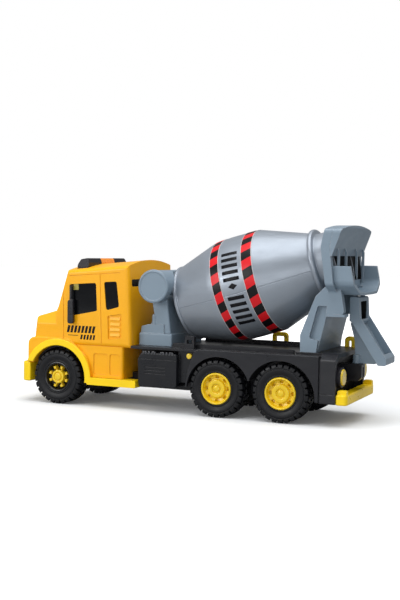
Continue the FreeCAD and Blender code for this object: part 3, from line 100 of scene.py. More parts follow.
# ---------------------------------------------------------------- materials
class Graph:
    """Short names for adding and joining a material's nodes."""

    def __init__(self, name):
        self.material = bpy.data.materials.new(name)
        self.material.use_nodes = True
        self.tree = self.material.node_tree
        self.surface = self.tree.nodes["Principled BSDF"]

    def add(self, kind, inputs=None, **settings):
        node = self.tree.nodes.new(kind)
        for key, value in settings.items():
            setattr(node, key, value)
        for key, value in (inputs or {}).items():
            if isinstance(value, bpy.types.NodeSocket):
                self.tree.links.new(value, node.inputs[key])
            else:
                node.inputs[key].default_value = value
        return node

    def noise(self, scale, detail=2.0, roughness=0.5, stretch=(1, 1, 1)):
        """Noise over the row frame, in features per metre."""
        place = self.add("ShaderNodeTexCoord").outputs["Object"]
        mapped = self.add("ShaderNodeMapping", {"Vector": place, "Scale": stretch})
        node = self.add("ShaderNodeTexNoise", {"Vector": mapped.outputs[0], "Scale": scale,
                                               "Detail": detail, "Roughness": roughness})
        return node.outputs["Fac"]

    def spread(self, value, low, high, start=0.0, end=1.0):
        node = self.add("ShaderNodeMapRange", {"Value": value, "From Min": start, "From Max": end,
                                               "To Min": low, "To Max": high})
        return node.outputs["Result"]

    def mix(self, factor, first, second, blend="MIX"):
        node = self.add("ShaderNodeMix", data_type="RGBA", blend_type=blend)
        for socket, value in ((node.inputs[0], factor), (node.inputs[6], first), (node.inputs[7], second)):
            if isinstance(value, bpy.types.NodeSocket):
                self.tree.links.new(value, socket)
            else:
                socket.default_value = value
        return node.outputs[2]

    def math(self, operation, first, second=0.0):
        node = self.add("ShaderNodeMath", operation=operation)
        for socket, value in zip(node.inputs, (first, second)):
            if isinstance(value, bpy.types.NodeSocket):
                self.tree.links.new(value, socket)
            else:
                socket.default_value = value
        return node.outputs[0]

    def edges(self, radius):
        """1 on edges tighter than the radius, 0 on flat faces, and the rounded normal."""
        soft = self.add("ShaderNodeBevel", {"Radius": radius}, samples=4).outputs[0]
        hard = self.add("ShaderNodeNewGeometry").outputs["Normal"]
        dot = self.add("ShaderNodeVectorMath", operation="DOT_PRODUCT")
        self.tree.links.new(soft, dot.inputs[0])
        self.tree.links.new(hard, dot.inputs[1])
        return self.spread(dot.outputs["Value"], 1.0, 0.0, 0.75, 0.98), soft

    def inside(self, low, high):
        """1 within a box in metres, 0 outside."""
        place = self.add("ShaderNodeTexCoord").outputs["Object"]
        axes = self.add("ShaderNodeSeparateXYZ", {"Vector": place}).outputs
        result = 1.0
        for axis, least, most in zip(axes, low, high):
            above = self.math("GREATER_THAN", axis, least)
            below = self.math("LESS_THAN", axis, most)
            result = self.math("MULTIPLY", result, self.math("MULTIPLY", above, below))
        return result

    def set(self, **values):
        for key, value in values.items():
            socket = self.surface.inputs[key.replace("_", " ")]
            if isinstance(value, bpy.types.NodeSocket):
                self.tree.links.new(value, socket)
            else:
                socket.default_value = value


def rgba(colour):
    return (*colour, 1.0)


def moulded(name, colour, roughness, variation=0.05, grain=0.05, grain_scale=2600.0, edge_highlight=0.10,
            round_radius=0.45 * MM, coat=0.0, metallic=0.0, specular=0.5, shaded_hollow=None):
    """Moulded plastic: uneven pigment, fine grain, scuffed roughness and rounded edges with a painted
    highlight.

    A shaded hollow is a box (low, high) whose surfaces inside the part are painted near black, as shade.
    """
    graph = Graph(name)
    cloud = graph.spread(graph.noise(22.0, 3.0), 1.0 - variation, 1.0 + variation, 0.3, 0.7)
    speck = graph.spread(graph.noise(900.0, 2.0), 1.0 - variation / 3, 1.0 + variation / 3, 0.3, 0.7)
    shade = graph.math("MULTIPLY", cloud, speck)
    tone = graph.add("ShaderNodeHueSaturation", {"Color": rgba(colour), "Value": shade}).outputs[0]
    edge, soft = graph.edges(round_radius)
    # Painted highlight: edges turn part way towards a pale tint, broken up by noise.
    edge_highlight_share = graph.spread(graph.noise(160.0, 3.0), 0.0, edge_highlight, 0.35, 0.7)
    pale = tuple(channel + (1.0 - channel) * 0.35 for channel in colour)
    tone = graph.mix(graph.math("MULTIPLY", edge, edge_highlight_share), tone, rgba(pale))
    # Painted shade: surfaces inside the hollow's box turn near black.
    if shaded_hollow:
        tone = graph.mix(graph.inside(*shaded_hollow), tone, rgba(HOLLOW_SHADE_BLACK))
    scuff = graph.noise(70.0, 4.0, 0.65, (1.0, 1.0, 3.0))
    rough = graph.spread(scuff, roughness * 0.82, min(roughness * 1.25, 1.0), 0.3, 0.7)
    bump = graph.add("ShaderNodeBump", {"Height": graph.noise(grain_scale, 2.0), "Normal": soft,
                                        "Strength": grain, "Distance": 0.2 * MM})
    graph.set(Base_Color=tone, Roughness=rough, Normal=bump.outputs[0], Metallic=metallic,
              Coat_Weight=coat, Coat_Roughness=0.08, Specular_IOR_Level=specular)
    return graph.material


MATERIALS = {
    "cab_yellow": moulded("cab_yellow", CAB_ORANGE, 0.36, edge_highlight=0.3, specular=0.35),
    "trim_lemon": moulded("trim_lemon", LEMON, 0.30, specular=0.4),
    "rim_yellow": moulded("rim_yellow", RIM_YELLOW, 0.28, coat=0.2),
    "tyre_black": moulded("tyre_black", TYRE_BLACK, 0.44, grain=0.20, grain_scale=1500.0, edge_highlight=0.04,
                          specular=0.3),
    "chassis_dark": moulded("chassis_dark", CHASSIS_GREY, 0.33, grain=0.06, edge_highlight=CHASSIS_EDGE_HIGHLIGHT,
                            specular=0.38),
    "box_black": moulded("box_black", BOX_BLACK, 0.30, grain=0.01, edge_highlight=0.4, specular=0.38),
    "frame_grey": moulded("frame_grey", BLUE_GREY, 0.36, edge_highlight=FRAME_EDGE_HIGHLIGHT, round_radius=FRAME_ROUNDING),
    "drum_silver": moulded("drum_silver", DRUM_SILVER, 0.36, grain=0.06, metallic=0.45),
    "drum_shade": moulded("drum_shade", SHADE_GREY, 0.5, grain=0.06),
    "hazard_sticker": moulded("hazard_sticker", HAZARD_RED, 0.34, grain=0.02, specular=0.3),
    "window_dark": moulded("window_dark", WINDOW_BLACK, 0.08, grain=0.01, edge_highlight=0.03),
    "mirror_black": moulded("mirror_black", MIRROR_BLACK, 0.30),
    "lamp_amber": moulded("lamp_amber", AMBER, 0.20, grain=0.02, coat=0.4),
    "button_smoke": moulded("button_smoke", SMOKE, 0.30, grain=0.03, specular=0.3),
    "steel": moulded("steel", STEEL, 0.28, metallic=1.0),
    "board_green": moulded("board_green", BOARD_GREEN, 0.4),
    "lens_yellow": moulded("lens_yellow", LENS_YELLOW, 0.12, grain=0.02, coat=0.6),
    "rib_gloss": moulded("rib_gloss", RIB_GREY, 0.18, grain=0.01, coat=0.5),
    "tab_yellow": moulded("tab_yellow", TAB_YELLOW, 0.3, grain=0.02),
    "dish_black": moulded("dish_black", TYRE_BLACK, 0.20, grain=0.03),
    "sticker_black": moulded("sticker_black", HAZARD_BLACK, 0.34, grain=0.02, specular=0.22),
    "sticker_border": moulded("sticker_border", BORDER_GREY, 0.35, grain=0.02),
    "print_black": moulded("print_black", PRINT_BLACK, 0.4, grain=0.02, specular=0.2),
}


# Colour and painted edge highlight of a node with a deep hollow, and the hollow's box in mm, inside which
# the plastic is painted near black as shade: the mouth's pocket, the chute's window and the tail recess.
SHADED_HOLLOWS = {
    "rear_pedestal": (BLUE_GREY, FRAME_EDGE_HIGHLIGHT, (-142.9, -46.0, 130.2), (-135.4, 46.0, 152.5)),
    "chute_trough": (BLUE_GREY, FRAME_EDGE_HIGHLIGHT, (-156.4, -11.7, 94.6), (-150.0, 11.7, 111.6)),
    "rear_bulkhead": (CHASSIS_GREY, CHASSIS_EDGE_HIGHLIGHT, (-145.2, -46.2, 23.8), (-136.5, 46.2, 61.2)),
}


def shaded_hollow_finish(name, colour, edge_highlight, low, high):
    """Finish of one hollowed node: its plastic is painted near black inside the box, as shade."""
    box = [[value * MM for value in corner] for corner in (low, high)]
    return moulded(f"{name}_hollow", colour, 0.36, grain=0.06, edge_highlight=edge_highlight, round_radius=FRAME_ROUNDING,
                   shaded_hollow=box)


# Nodes whose finish differs from their record slot.
NODE_FINISH = {"tail_lamp_lenses": "lens_yellow", "side_markers": "lens_yellow",
               "tail_lamp_bodies": "button_smoke"}


def dress_cad_nodes():
    """Gives every CAD node the material of its record slot."""
    for entry in frame["record"]["subparts"]:
        node = frame["nodes"][entry["node"]]
        node.data.materials.clear()
        node.data.materials.append(MATERIALS[NODE_FINISH.get(entry["node"], entry["material_slot"])])
    # Painted shade: the hollowed nodes turn near black inside their hollow's box.
    for name, (colour, edge_highlight, low, high) in SHADED_HOLLOWS.items():
        frame["nodes"][name].data.materials[0] = shaded_hollow_finish(name, colour, edge_highlight, low, high)


# ---------------------------------------------------------------- mesh helpers
def rounded_line(corners, steps=5):
    """Open line through corners (u, v, radius); each inner corner becomes an arc."""
    line = [Vector(corners[0][:2])]
    for index in range(1, len(corners) - 1):
        corner = Vector(corners[index][:2])
        radius = corners[index][2]
        back = Vector(corners[index - 1][:2]) - corner
        ahead = Vector(corners[index + 1][:2]) - corner
        if radius == 0:
            line.append(corner)
            continue
        half = back.angle(ahead) / 2
        trim = radius / math.tan(half)
        start = corner + back.normalized() * trim
        end = corner + ahead.normalized() * trim
        for step in range(steps + 1):
            share = step / steps
            line.append(start.lerp(corner, share).lerp(corner.lerp(end, share), share))
    line.append(Vector(corners[-1][:2]))
    return [(point.x, point.y) for point in line]


def build(name, points, faces, materials, slots=None, sharp=38.0):
    """Object from points and faces, smooth except across edges sharper than the angle."""
    mesh = bpy.data.meshes.new(name)
    mesh.from_pydata([tuple(point) for point in points], [], faces)
    for material in materials:
        mesh.materials.append(material)
    mesh.polygons.foreach_set("use_smooth", [True] * len(mesh.polygons))
    if slots:
        mesh.polygons.foreach_set("material_index", slots)
    work = bmesh.new()
    work.from_mesh(mesh)
    bmesh.ops.remove_doubles(work, verts=work.verts, dist=1e-6)
    bmesh.ops.recalc_face_normals(work, faces=work.faces)
    work.to_mesh(mesh)
    work.free()
    mesh.set_sharp_from_angle(angle=math.radians(sharp))
    piece = bpy.data.objects.new(name, mesh)
    bpy.context.scene.collection.objects.link(piece)
    return piece


def sheet(name, rows, materials, slot_of=None, closed=False, sharp=38.0):
    """Surface through rings of points; a closed one also joins its last ring to the first."""
    width = len(rows[0])
    points = [point for row in rows for point in row]
    faces, slots = [], []
    for r in range(len(rows) if closed else len(rows) - 1):
        ahead = (r + 1) % len(rows)
        for c in range(width):
            following = (c + 1) % width
            faces.append((r * width + c, r * width + following, ahead * width + following,
                          ahead * width + c))
            slots.append(slot_of(r, c) if slot_of else 0)
    return build(name, points, faces, materials, slots, sharp)


def turned(name, line, place, materials, columns=128, **options):
    """Surface made by turning a (station, radius) line about an axis."""
    rows = [[place(s, r, math.tau * c / columns) for c in range(columns)] for s, r in line]
    return sheet(name, rows, materials, **options)


# ---------------------------------------------------------------- wheels
class Wheel:
    """Place of one wheel, read from its CAD tyre."""

    def __init__(self, axle, side):
        low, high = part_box(f"{axle}_tyre_{side}")
        self.axle = axle
        self.side = side
        self.out = 1.0 if side == "left" else -1.0
        self.middle = (low + high) / 2

    def place(self, offset, radius, angle):
        """Point at an offset outwards from the tyre's middle and an angle about the axle."""
        return Vector((self.middle.x + radius * MM * math.sin(angle),
                       self.middle.y + self.out * offset * MM,
                       self.middle.z + radius * MM * math.cos(angle)))

    def ride(self, piece, kind, slot):
        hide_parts(f"{self.axle}_{kind}_{self.side}")
        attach(piece, f"{self.axle}_wheels")


TREAD_BLOCKS = 26
TREAD_COLUMNS = ((0.0, 0), (0.045, 1), (0.255, 1), (0.30, 0), (0.475, 0), (0.65, 0), (0.825, 0))
TREAD_SLANT = 0.45           # share of a pitch that a groove drifts towards the shoulder
CENTRE_GROOVE = 1.1          # half width of the groove round the middle, mm
SHOULDER = 8.3
LUG_FOOT = (23.0, 25.0)      # radii between which every other groove is shallower, mm
SHALLOW = 0.45               # depth of those grooves as a share of the full depth
# Offset and radius of a tyre's outer half in mm, and how far a tread groove moves that point.
TYRE_HALF = (
    (8.0, 14.9, 0, 0), (8.9, 14.95, 0, 0), (9.3, 15.5, 0, 0), (9.3, 16.3, 0, 0), (8.9, 16.8, 0, 0),
    (9.1, 17.5, 0, 0), (9.6, 18.6, 0, 0), (9.9, 20.0, 0, 0), (10.0, 21.2, 0, 0), (9.9, 22.1, 0, 0),
    (9.5, 22.4, 0, 0), (9.45, 22.9, 0, 0), (9.8, 23.25, 0, 0), (9.75, 24.4, -0.9, -0.2),
    (9.55, 25.5, -1.3, -0.8), (9.1, 26.35, -1.2, -1.6), (8.3, 26.85, -0.6, -2.0),
    (7.0, 27.0, 0, -2.1), (4.3, 27.0, 0, -2.1), (1.6, 27.0, 0, -2.1), (1.35, 26.85, 0, -1.9),
    (CENTRE_GROOVE, 25.0, 0, 0),
)


def tyre(wheel):
    """Chunky tyre: bead, ribbed sidewall and slanted tread blocks in two offset rows."""
    inner_half = [(-offset, radius, -shift, drop) for offset, radius, shift, drop in reversed(TYRE_HALF)]
    rows = []
    for offset, radius, shift, drop in list(TYRE_HALF) + inner_half:
        reach = min(max(abs(offset) - CENTRE_GROOVE, 0.0), SHOULDER - CENTRE_GROOVE)
        drift = TREAD_SLANT * reach / (SHOULDER - CENTRE_GROOVE)
        phase = drift + (0.5 if offset < 0 else 0.0)
        row = []
        for block in range(TREAD_BLOCKS):
            foot_depth = 1.0 if block % 2 else SHALLOW
            for share, cut in TREAD_COLUMNS:
                angle = math.tau * (block + share + phase) / TREAD_BLOCKS
                depth = cut * (foot_depth if LUG_FOOT[0] < radius < LUG_FOOT[1] else 1.0)
                row.append(wheel.place(offset + shift * depth, radius + drop * depth, angle))
        rows.append(row)
    piece = sheet(f"tyre_{wheel.axle}_{wheel.side}", rows, [MATERIALS["tyre_black"]], closed=True,
                  sharp=30.0)
    wheel.ride(piece, "tyre", "tyre_black")


RIM_BACK = ((-8.5, 0.0), (-8.5, 5.0), (-1.0, 5.5), (-1.0, 12.4), (-8.5, 12.6), (-8.5, 14.85))
RIM_LINE = RIM_BACK + (
    (6.0, 14.85), (8.9, 14.9), (9.7, 14.7), (10.15, 14.3), (10.3, 13.85), (10.2, 13.4), (9.8, 13.1),
    (9.0, 12.9), (8.0, 12.7), (7.2, 12.5), (6.6, 12.25), (6.3, 11.95), (6.2, 11.7), (6.15, 11.45),
    (6.1, 11.2), (6.05, 10.95), (6.0, 10.7), (5.95, 10.45), (5.9, 10.2), (5.85, 9.95), (5.8, 9.7),
    (5.8, 9.4), (5.8, 9.1), (5.95, 8.8), (6.4, 8.6), (7.8, 8.3), (8.3, 8.15), (8.5, 7.9), (8.55, 7.5),
    (8.5, 6.2), (8.45, 4.9), (8.3, 4.6), (7.5, 4.4), (7.15, 4.2), (7.1, 3.8), (7.15, 3.5), (7.5, 3.3),
    (8.0, 3.1), (8.4, 2.6), (8.6, 1.8), (8.65, 0.9), (8.65, 0.0),
)
RIM_WINDOWS = 8
WINDOW_RADIUS = 10.75        # centre of the oval windows from the axle, mm
WINDOW_HALF = (1.75, 1.15)   # half length around the wheel and half height across it
WINDOW_DEPTH = 3.2
WINDOW_COLUMNS = 20          # mesh columns for each window
WINDOW_ZONE = (9.0, 12.3)    # radii between which the web may dip, mm
WEB_FLOOR = 2.0              # the web lies outside this offset, the back of the rim inside it


def oval(across, along):
    """1 inside an oval with soft edges, 0 outside."""
    distance = abs(across) ** 2.6 + abs(along) ** 2.6
    share = min(max((1.25 - distance) / 0.6, 0.0), 1.0)
    return share * share * (3 - 2 * share)


def rear_rim(wheel):
    """Dished rim with a rolled lip, oval windows, a raised hub and a domed cap."""
    columns = RIM_WINDOWS * WINDOW_COLUMNS
    rows = []
    for offset, radius in RIM_LINE:
        on_web = WINDOW_ZONE[0] < radius < WINDOW_ZONE[1] and offset > WEB_FLOOR
        row = []
        for column in range(columns):
            angle = math.tau * column / columns
            pitch = math.tau / RIM_WINDOWS
            from_window = (angle + pitch / 2) % pitch - pitch / 2
            hole = 0.0
            if on_web:
                hole = oval((radius - WINDOW_RADIUS) / WINDOW_HALF[1],
                            from_window * WINDOW_RADIUS / WINDOW_HALF[0])
            row.append(wheel.place(offset - WINDOW_DEPTH * hole, radius, angle))
        rows.append(row)
    piece = sheet(f"rim_{wheel.axle}_{wheel.side}", rows, [MATERIALS["rim_yellow"]], sharp=50.0)
    wheel.ride(piece, "wheel", "rim_yellow")


DISH_CORNERS = ((-8.5, 0.0, 0), (-8.5, 5.0, 0), (0.0, 5.5, 0), (0.0, 11.0, 0), (-8.5, 12.6, 0),
                (-8.5, 14.9, 0.4), (9.1, 14.95, 0.5), (9.3, 14.0, 0.6), (8.8, 12.9, 1.0), (4.0, 11.6, 2.5),
                (2.2, 8.0, 1.5), (2.0, 0.0, 0))
HUB_CORNERS = ((1.6, 0.0, 0), (1.6, 7.0, 0), (6.0, 6.8, 0), (8.4, 6.6, 0.7), (8.5, 4.6, 0.5),
               (7.5, 4.3, 0.4), (7.4, 3.8, 0.3), (8.7, 3.4, 0.9), (9.0, 0.0, 0))
LUG_COUNT = 8
LUG_FLOOR = 1.8              # offset at which the lugs start, mm
LUG_ROUNDING = 0.45 * MM
# Half width, inner and outer radius and outer offset of a lug, neck first, then its stud.
LUG_BLOCKS = ((0.85, 6.0, 9.0, 5.6), (1.35, 8.4, 11.0, 7.4))


def front_rim(wheel):
    """Deep black dish behind a small yellow hub with eight lugs."""
    dish = turned(f"dish_{wheel.axle}_{wheel.side}", rounded_line(DISH_CORNERS), wheel.place,
                  [MATERIALS["dish_black"]])
    wheel.ride(dish, "wheel", "rim_yellow")
    hub = turned(f"hub_{wheel.axle}_{wheel.side}", rounded_line(HUB_CORNERS), wheel.place,
                 [MATERIALS["rim_yellow"]], columns=72)
    lugs = []
    for index in range(LUG_COUNT):
        turn = math.tau * (index + 0.5) / LUG_COUNT
        for half, inner, outer, top in LUG_BLOCKS:
            lugs.append((turn, half, inner, outer, top))
    add_lugs(hub, wheel, lugs)
    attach(hub, f"{wheel.axle}_wheels")


def add_lugs(hub, wheel, lugs):
    """Joins rounded blocks to the hub's mesh."""
    work = bmesh.new()
    work.from_mesh(hub.data)
    for turn, half, inner, outer, top in lugs:
        made = bmesh.ops.create_cube(work, size=1.0)["verts"]
        for vert in made:
            across = vert.co.x * 2 * half
            along = inner + (vert.co.y + 0.5) * (outer - inner)
            offset = LUG_FLOOR + (vert.co.z + 0.5) * (top - LUG_FLOOR)
            radius = math.hypot(across, along)
            vert.co = wheel.place(offset, radius, turn + math.atan2(across, along))
        edges = list({edge for vert in made for edge in vert.link_edges})
        bmesh.ops.bevel(work, geom=edges, offset=LUG_ROUNDING, segments=3, affect="EDGES", profile=0.5)
    bmesh.ops.recalc_face_normals(work, faces=work.faces)
    work.to_mesh(hub.data)
    work.free()
    hub.data.polygons.foreach_set("use_smooth", [True] * len(hub.data.polygons))
    hub.data.set_sharp_from_angle(angle=math.radians(38.0))


def wheels():
    for axle in ("front", "middle", "rear"):
        for side in ("left", "right"):
            wheel = Wheel(axle, side)
            tyre(wheel)
            if axle == "front":
                front_rim(wheel)
            else:
                rear_rim(wheel)


# ---------------------------------------------------------------- drum
DRUM_JOINT = next(joint for joint in frame["joints"] if joint["name"] == "drum_spin")
DRUM_CENTRE = Vector(DRUM_JOINT["pos_m"])
DRUM_AXIS = Vector(DRUM_JOINT["axis"]).normalized()
DRUM_UP = Vector((0, 1, 0)).cross(DRUM_AXIS) * -1.0
DRUM_CORNERS = ((-66.0, 3.2, 0), (-66.0, 26.0, 0.6), (-65.2, 28.0, 0.8), (-65.2, 33.2, 1.2),
                (-64.6, 36.8, 1.6), (-61.8, 37.2, 1.3), (-61.3, 36.0, 0.3), (-60.4, 35.9, 0.3),
                (-59.9, 36.7, 0.3), (-17.7, 49.6, 45.0), (1.0, 50.0, 200.0), (25.9, 49.3, 12.0),
                (74.3, 31.7, 0.4), (74.3, 29.8, 0))
SEAM_ANGLE = 82.0            # parting line of the two shells, degrees from the top
SEAM_DEPTH = 0.30            # mm
SEAM_START = -60.0           # the parting line begins behind the rolled front edge, mm
SEAM_ROOM = 1.2              # degrees around a seam that are free of plain columns
SEAM_DIPS = ((-0.6, 0.0), (-0.2, SEAM_DEPTH), (0.2, SEAM_DEPTH), (0.6, 0.0))
DRUM_INSIDE = ((72.6, 30.2), (26.0, 47.2), (-17.0, 47.4), (-62.0, 33.0), (-63.8, 26.0), (-63.8, 3.2))
DRUM_STEP = 3.0              # longest span of the drum's mesh along its outline, mm
MOUTH_CORNERS = ((74.5, 29.6, 0), (74.5, 34.4, 1.8), (76.8, 34.9, 1.0), (79.1, 34.4, 1.8),
                 (79.1, 29.5, 0.8), (97.0, 29.5, 0.6), (97.0, 27.4, 0.6), (74.1, 27.4, 0), (62.0, 27.4, 0),
                 (62.0, 29.4, 0), (74.5, 29.6, 0))
MOUTH_INSIDE = 27.6          # the neck's bore lies within this radius, mm
BANDS = {"front": (-17.4, -8.0, 13.5), "rear": (15.0, 26.0, 21.15)}   # stations and first red edge
STRIPES = 34
STRIPE_COLUMNS = 6           # mesh columns in each stripe
STRIPE_SLANT = 0.347         # degrees of drift per mm along the drum
BAND_BORDER = 0.55
BAND_LIFT = 0.22
BAND_TUCK = 0.15             # depth of a band's edges under the drum's surface
MARK_STATIONS = (-4.6, 11.4)
MARK_LIFT = 0.12
MARK_GROUPS = (46.0, 97.0)   # angles at which the two groups of bars start, degrees
MARK_BARS = 5                # bars in a group
MARK_PITCH = 7.6             # degrees from one bar to the next
MARK_WIDTH = 4.0             # degrees
MARK_LEAN = 1.2              # degrees that a bar's far end is turned back
LOZENGE_ANGLE = 90.5
LOZENGE_HALF = (4.5, 3.5)    # half length in mm along the drum, half height in degrees
MARK_DEPTH = 0.2


def drum_place(station, radius, angle):
    """Point at a station along the drum and an angle from its top towards the left side."""
    out = DRUM_UP * math.cos(angle) + Vector((0, 1, 0)) * math.sin(angle)
    return DRUM_CENTRE + DRUM_AXIS * (station * MM) + out * (radius * MM)


def drum_radius(station):
    """Outer radius of the drum at a station."""
    for (s1, r1), (s2, r2) in zip(DRUM_LINE, DRUM_LINE[1:]):
        if s1 <= station <= s2 and s2 > s1:
            return r1 + (r2 - r1) * (station - s1) / (s2 - s1)
    raise ValueError(f"no drum surface at station {station}")


def seam_columns(columns=180):
    """Angles round the drum in degrees and how far each one dips, denser at the parting lines."""
    seams = (SEAM_ANGLE, SEAM_ANGLE + 180.0)
    plain = [360.0 * index / columns for index in range(columns)]
    result = [(angle, 0.0) for angle in plain if min(abs(angle - seam) for seam in seams) > SEAM_ROOM]
    for seam in seams:
        result += [(seam + shift, depth) for shift, depth in SEAM_DIPS]
    return sorted(result)


def densify(line, longest):
    """The same line with extra points, so that no span exceeds the longest."""
    result = [line[0]]
    for (u1, v1), (u2, v2) in zip(line, line[1:]):
        pieces = max(1, math.ceil(math.hypot(u2 - u1, v2 - v1) / longest))
        result += [(u1 + (u2 - u1) * k / pieces, v1 + (v2 - v1) * k / pieces) for k in range(1, pieces + 1)]
    return result


DRUM_LINE = densify(rounded_line(DRUM_CORNERS, steps=12), DRUM_STEP)


def drum_shell():
    """Barrel with a rolled front edge and a fine parting line along each side."""
    line = DRUM_LINE + list(DRUM_INSIDE) + [DRUM_LINE[0]]
    columns = seam_columns()
    rows = []
    for index, (station, radius) in enumerate(line):
        on_side = index < len(DRUM_LINE) - 1 and station > SEAM_START
        rows.append([drum_place(station, radius - (dip if on_side else 0.0), math.radians(angle))
                     for angle, dip in columns])
    shell = sheet("drum_shell", rows, [MATERIALS["drum_silver"]], sharp=32.0)
    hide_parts("drum_shell_front_side", "drum_shell_back_side")
    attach(shell, "drum")


def drum_mouth():
    """Rolled lip and neck at the open end, in shade inside."""
    line = rounded_line(MOUTH_CORNERS)

    def shaded(row, column):
        return int(max(line[row][1], line[row + 1][1]) < MOUTH_INSIDE)

    mouth = turned("drum_mouth", line, drum_place, [MATERIALS["drum_silver"], MATERIALS["drum_shade"]],
                   columns=160, slot_of=shaded)
    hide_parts("drum_mouth_ring")
    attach(mouth, "drum")


def hazard_band(name, low, high, first_red):
    """Sticker round the drum: slanted red and black bars between pale borders."""
    across = [low, low, low + BAND_BORDER]
    across += [low + BAND_BORDER + (high - low - 2 * BAND_BORDER) * k / 4 for k in range(1, 5)]
    across += [high, high]
    columns = STRIPES * STRIPE_COLUMNS
    middle = (low + high) / 2
    rows = []
    for index, station in enumerate(across):
        edge = index in (0, len(across) - 1)
        radius = drum_radius(station) + (-BAND_TUCK if edge else BAND_LIFT)
        drift = STRIPE_SLANT * (station - middle)
        rows.append([drum_place(station, radius, math.radians(first_red + drift + 360.0 * c / columns))
                     for c in range(columns)])

    def ink(row, column):
        if row < 2 or row > len(across) - 4:
            return 2
        return (column // STRIPE_COLUMNS) % 2

    inks = [MATERIALS["hazard_sticker"], MATERIALS["sticker_black"], MATERIALS["sticker_border"]]
    band = sheet(f"hazard_band_{name}_sticker", rows, inks, slot_of=ink, closed=True)
    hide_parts(f"hazard_band_{name}")
    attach(band, "drum")


def blended(first, second, share):
    return first * (1 - share) + second * share


def drum_patch(corners, steps=5):
    """Rows of points over a patch with corners (station, degrees), just above the drum."""
    (s1, a1), (s2, a2), (s3, a3), (s4, a4) = corners
    rows = []
    for i in range(steps + 1):
        along = i / steps
        row = []
        for j in range(steps + 1):
            across = j / steps
            station = blended(blended(s1, s2, across), blended(s4, s3, across), along)
            angle = blended(blended(a1, a2, across), blended(a4, a3, across), along)
            row.append(drum_place(station, drum_radius(station) + MARK_LIFT, math.radians(angle)))
        rows.append(row)
    return rows


def drum_mark():
    """Plain printed bars between the two bands, in two groups with a lozenge between them."""
    low, high = MARK_STATIONS
    bars = []
    for start in MARK_GROUPS:
        for index in range(MARK_BARS):
            angle = start + index * MARK_PITCH
            far = angle + MARK_WIDTH
            bars.append([(low, angle), (high, angle - MARK_LEAN), (high, far - MARK_LEAN), (low, far)])
    middle = (low + high) / 2
    bars.append([(middle - LOZENGE_HALF[0], LOZENGE_ANGLE), (middle, LOZENGE_ANGLE - LOZENGE_HALF[1]),
                 (middle + LOZENGE_HALF[0], LOZENGE_ANGLE), (middle, LOZENGE_ANGLE + LOZENGE_HALF[1])])
    points, faces = [], []
    for corners in bars:
        rows = drum_patch(corners)
        width = len(rows[0])
        base = len(points)
        points += [point for row in rows for point in row]
        faces += [(base + r * width + c, base + r * width + c + 1, base + (r + 1) * width + c + 1,
                   base + (r + 1) * width + c) for r in range(len(rows) - 1) for c in range(width - 1)]
    mark = build("drum_mark", points, faces, [MATERIALS["print_black"]])
    thicken(mark, MARK_DEPTH)
    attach(mark, "drum")


def thicken(piece, depth):
    """Gives an open sheet a thickness in mm, inwards."""
    solid = piece.modifiers.new("depth", "SOLIDIFY")
    solid.thickness = depth * MM
    solid.offset = -1.0


def drum():
    drum_shell()
    drum_mouth()
    for name, (low, high, first_red) in BANDS.items():
        hazard_band(name, low, high, first_red)
    drum_mark()


# ---------------------------------------------------------------- cab and side boxes
DOOR_BARS = 8
DOOR_BAR_PITCH = 4.05        # mm along the door
DOOR_BAR_WIDTH = 2.7
DOOR_BAR_SLANT = 1.6
DOOR_Y = 48.0 * MM           # face of the doors
DOOR_MARK_BACK = 44.6 * MM   # front of the mark behind the nose
DOOR_MARK_RISE = 43.0 * MM   # foot of the bold row above the cab's lower edge
DOOR_BAR_RISE = 7.0
DOOR_SQUARES = 5
DOOR_SQUARE_START = 15.5     # first small square behind the mark's front
DOOR_SQUARE_PITCH = 3.5
DOOR_LINE = (1.5, 13.0)      # ends of the fine line behind the mark's front
PRINT_PROUD = 0.06           # thickness of printed marks, mm
TAB_SET = (6.9, 6.0)         # top front corner of the tab from the window's, mm
RIB_COUNT = 11
RIB_GAP = 5                  # the rib that is left out
RIB_START = 5.0
RIB_PITCH = 3.1
RIB_WIDTH = 2.1
RIB_LEANS = (0.8, -0.5, 0.2)


def outer_side(side, node):
    """Sign of a side along Y, and the outer face of a CAD node on it."""
    low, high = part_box(node)
    sign = 1.0 if side == "left" else -1.0
    return sign, sign * max(abs(low.y), abs(high.y))


def millimetres(x, z, corners):
    """Outline from corners in mm, measured back from x and up from z in metres."""
    return [(x - back * MM, z + up * MM) for back, up in corners]


def plate(name, outlines, y_inner, y_outer, material, soften=0.0):
    """Upright plates in one object; each outline is a list of (x, z) in metres."""
    points, faces = [], []
    for outline in outlines:
        base = len(points)
        count = len(outline)
        points += [(x, y_inner, z) for x, z in outline] + [(x, y_outer, z) for x, z in outline]
        faces.append(tuple(base + k for k in range(count)))
        faces.append(tuple(base + count + k for k in reversed(range(count))))
        for k in range(count):
            following = (k + 1) % count
            faces.append((base + k, base + count + k, base + count + following, base + following))
    piece = build(name, points, faces, [material])
    if soften:
        bevel = piece.modifiers.new("soften", "BEVEL")
        bevel.width = soften
        bevel.segments = 3
    return piece


def slanted_bar(back, low, high, width, slant):
    """Corners of a leaning bar whose foot starts that far back, in mm."""
    return [(back, low), (back + width, low), (back + width + slant, high), (back + slant, high)]


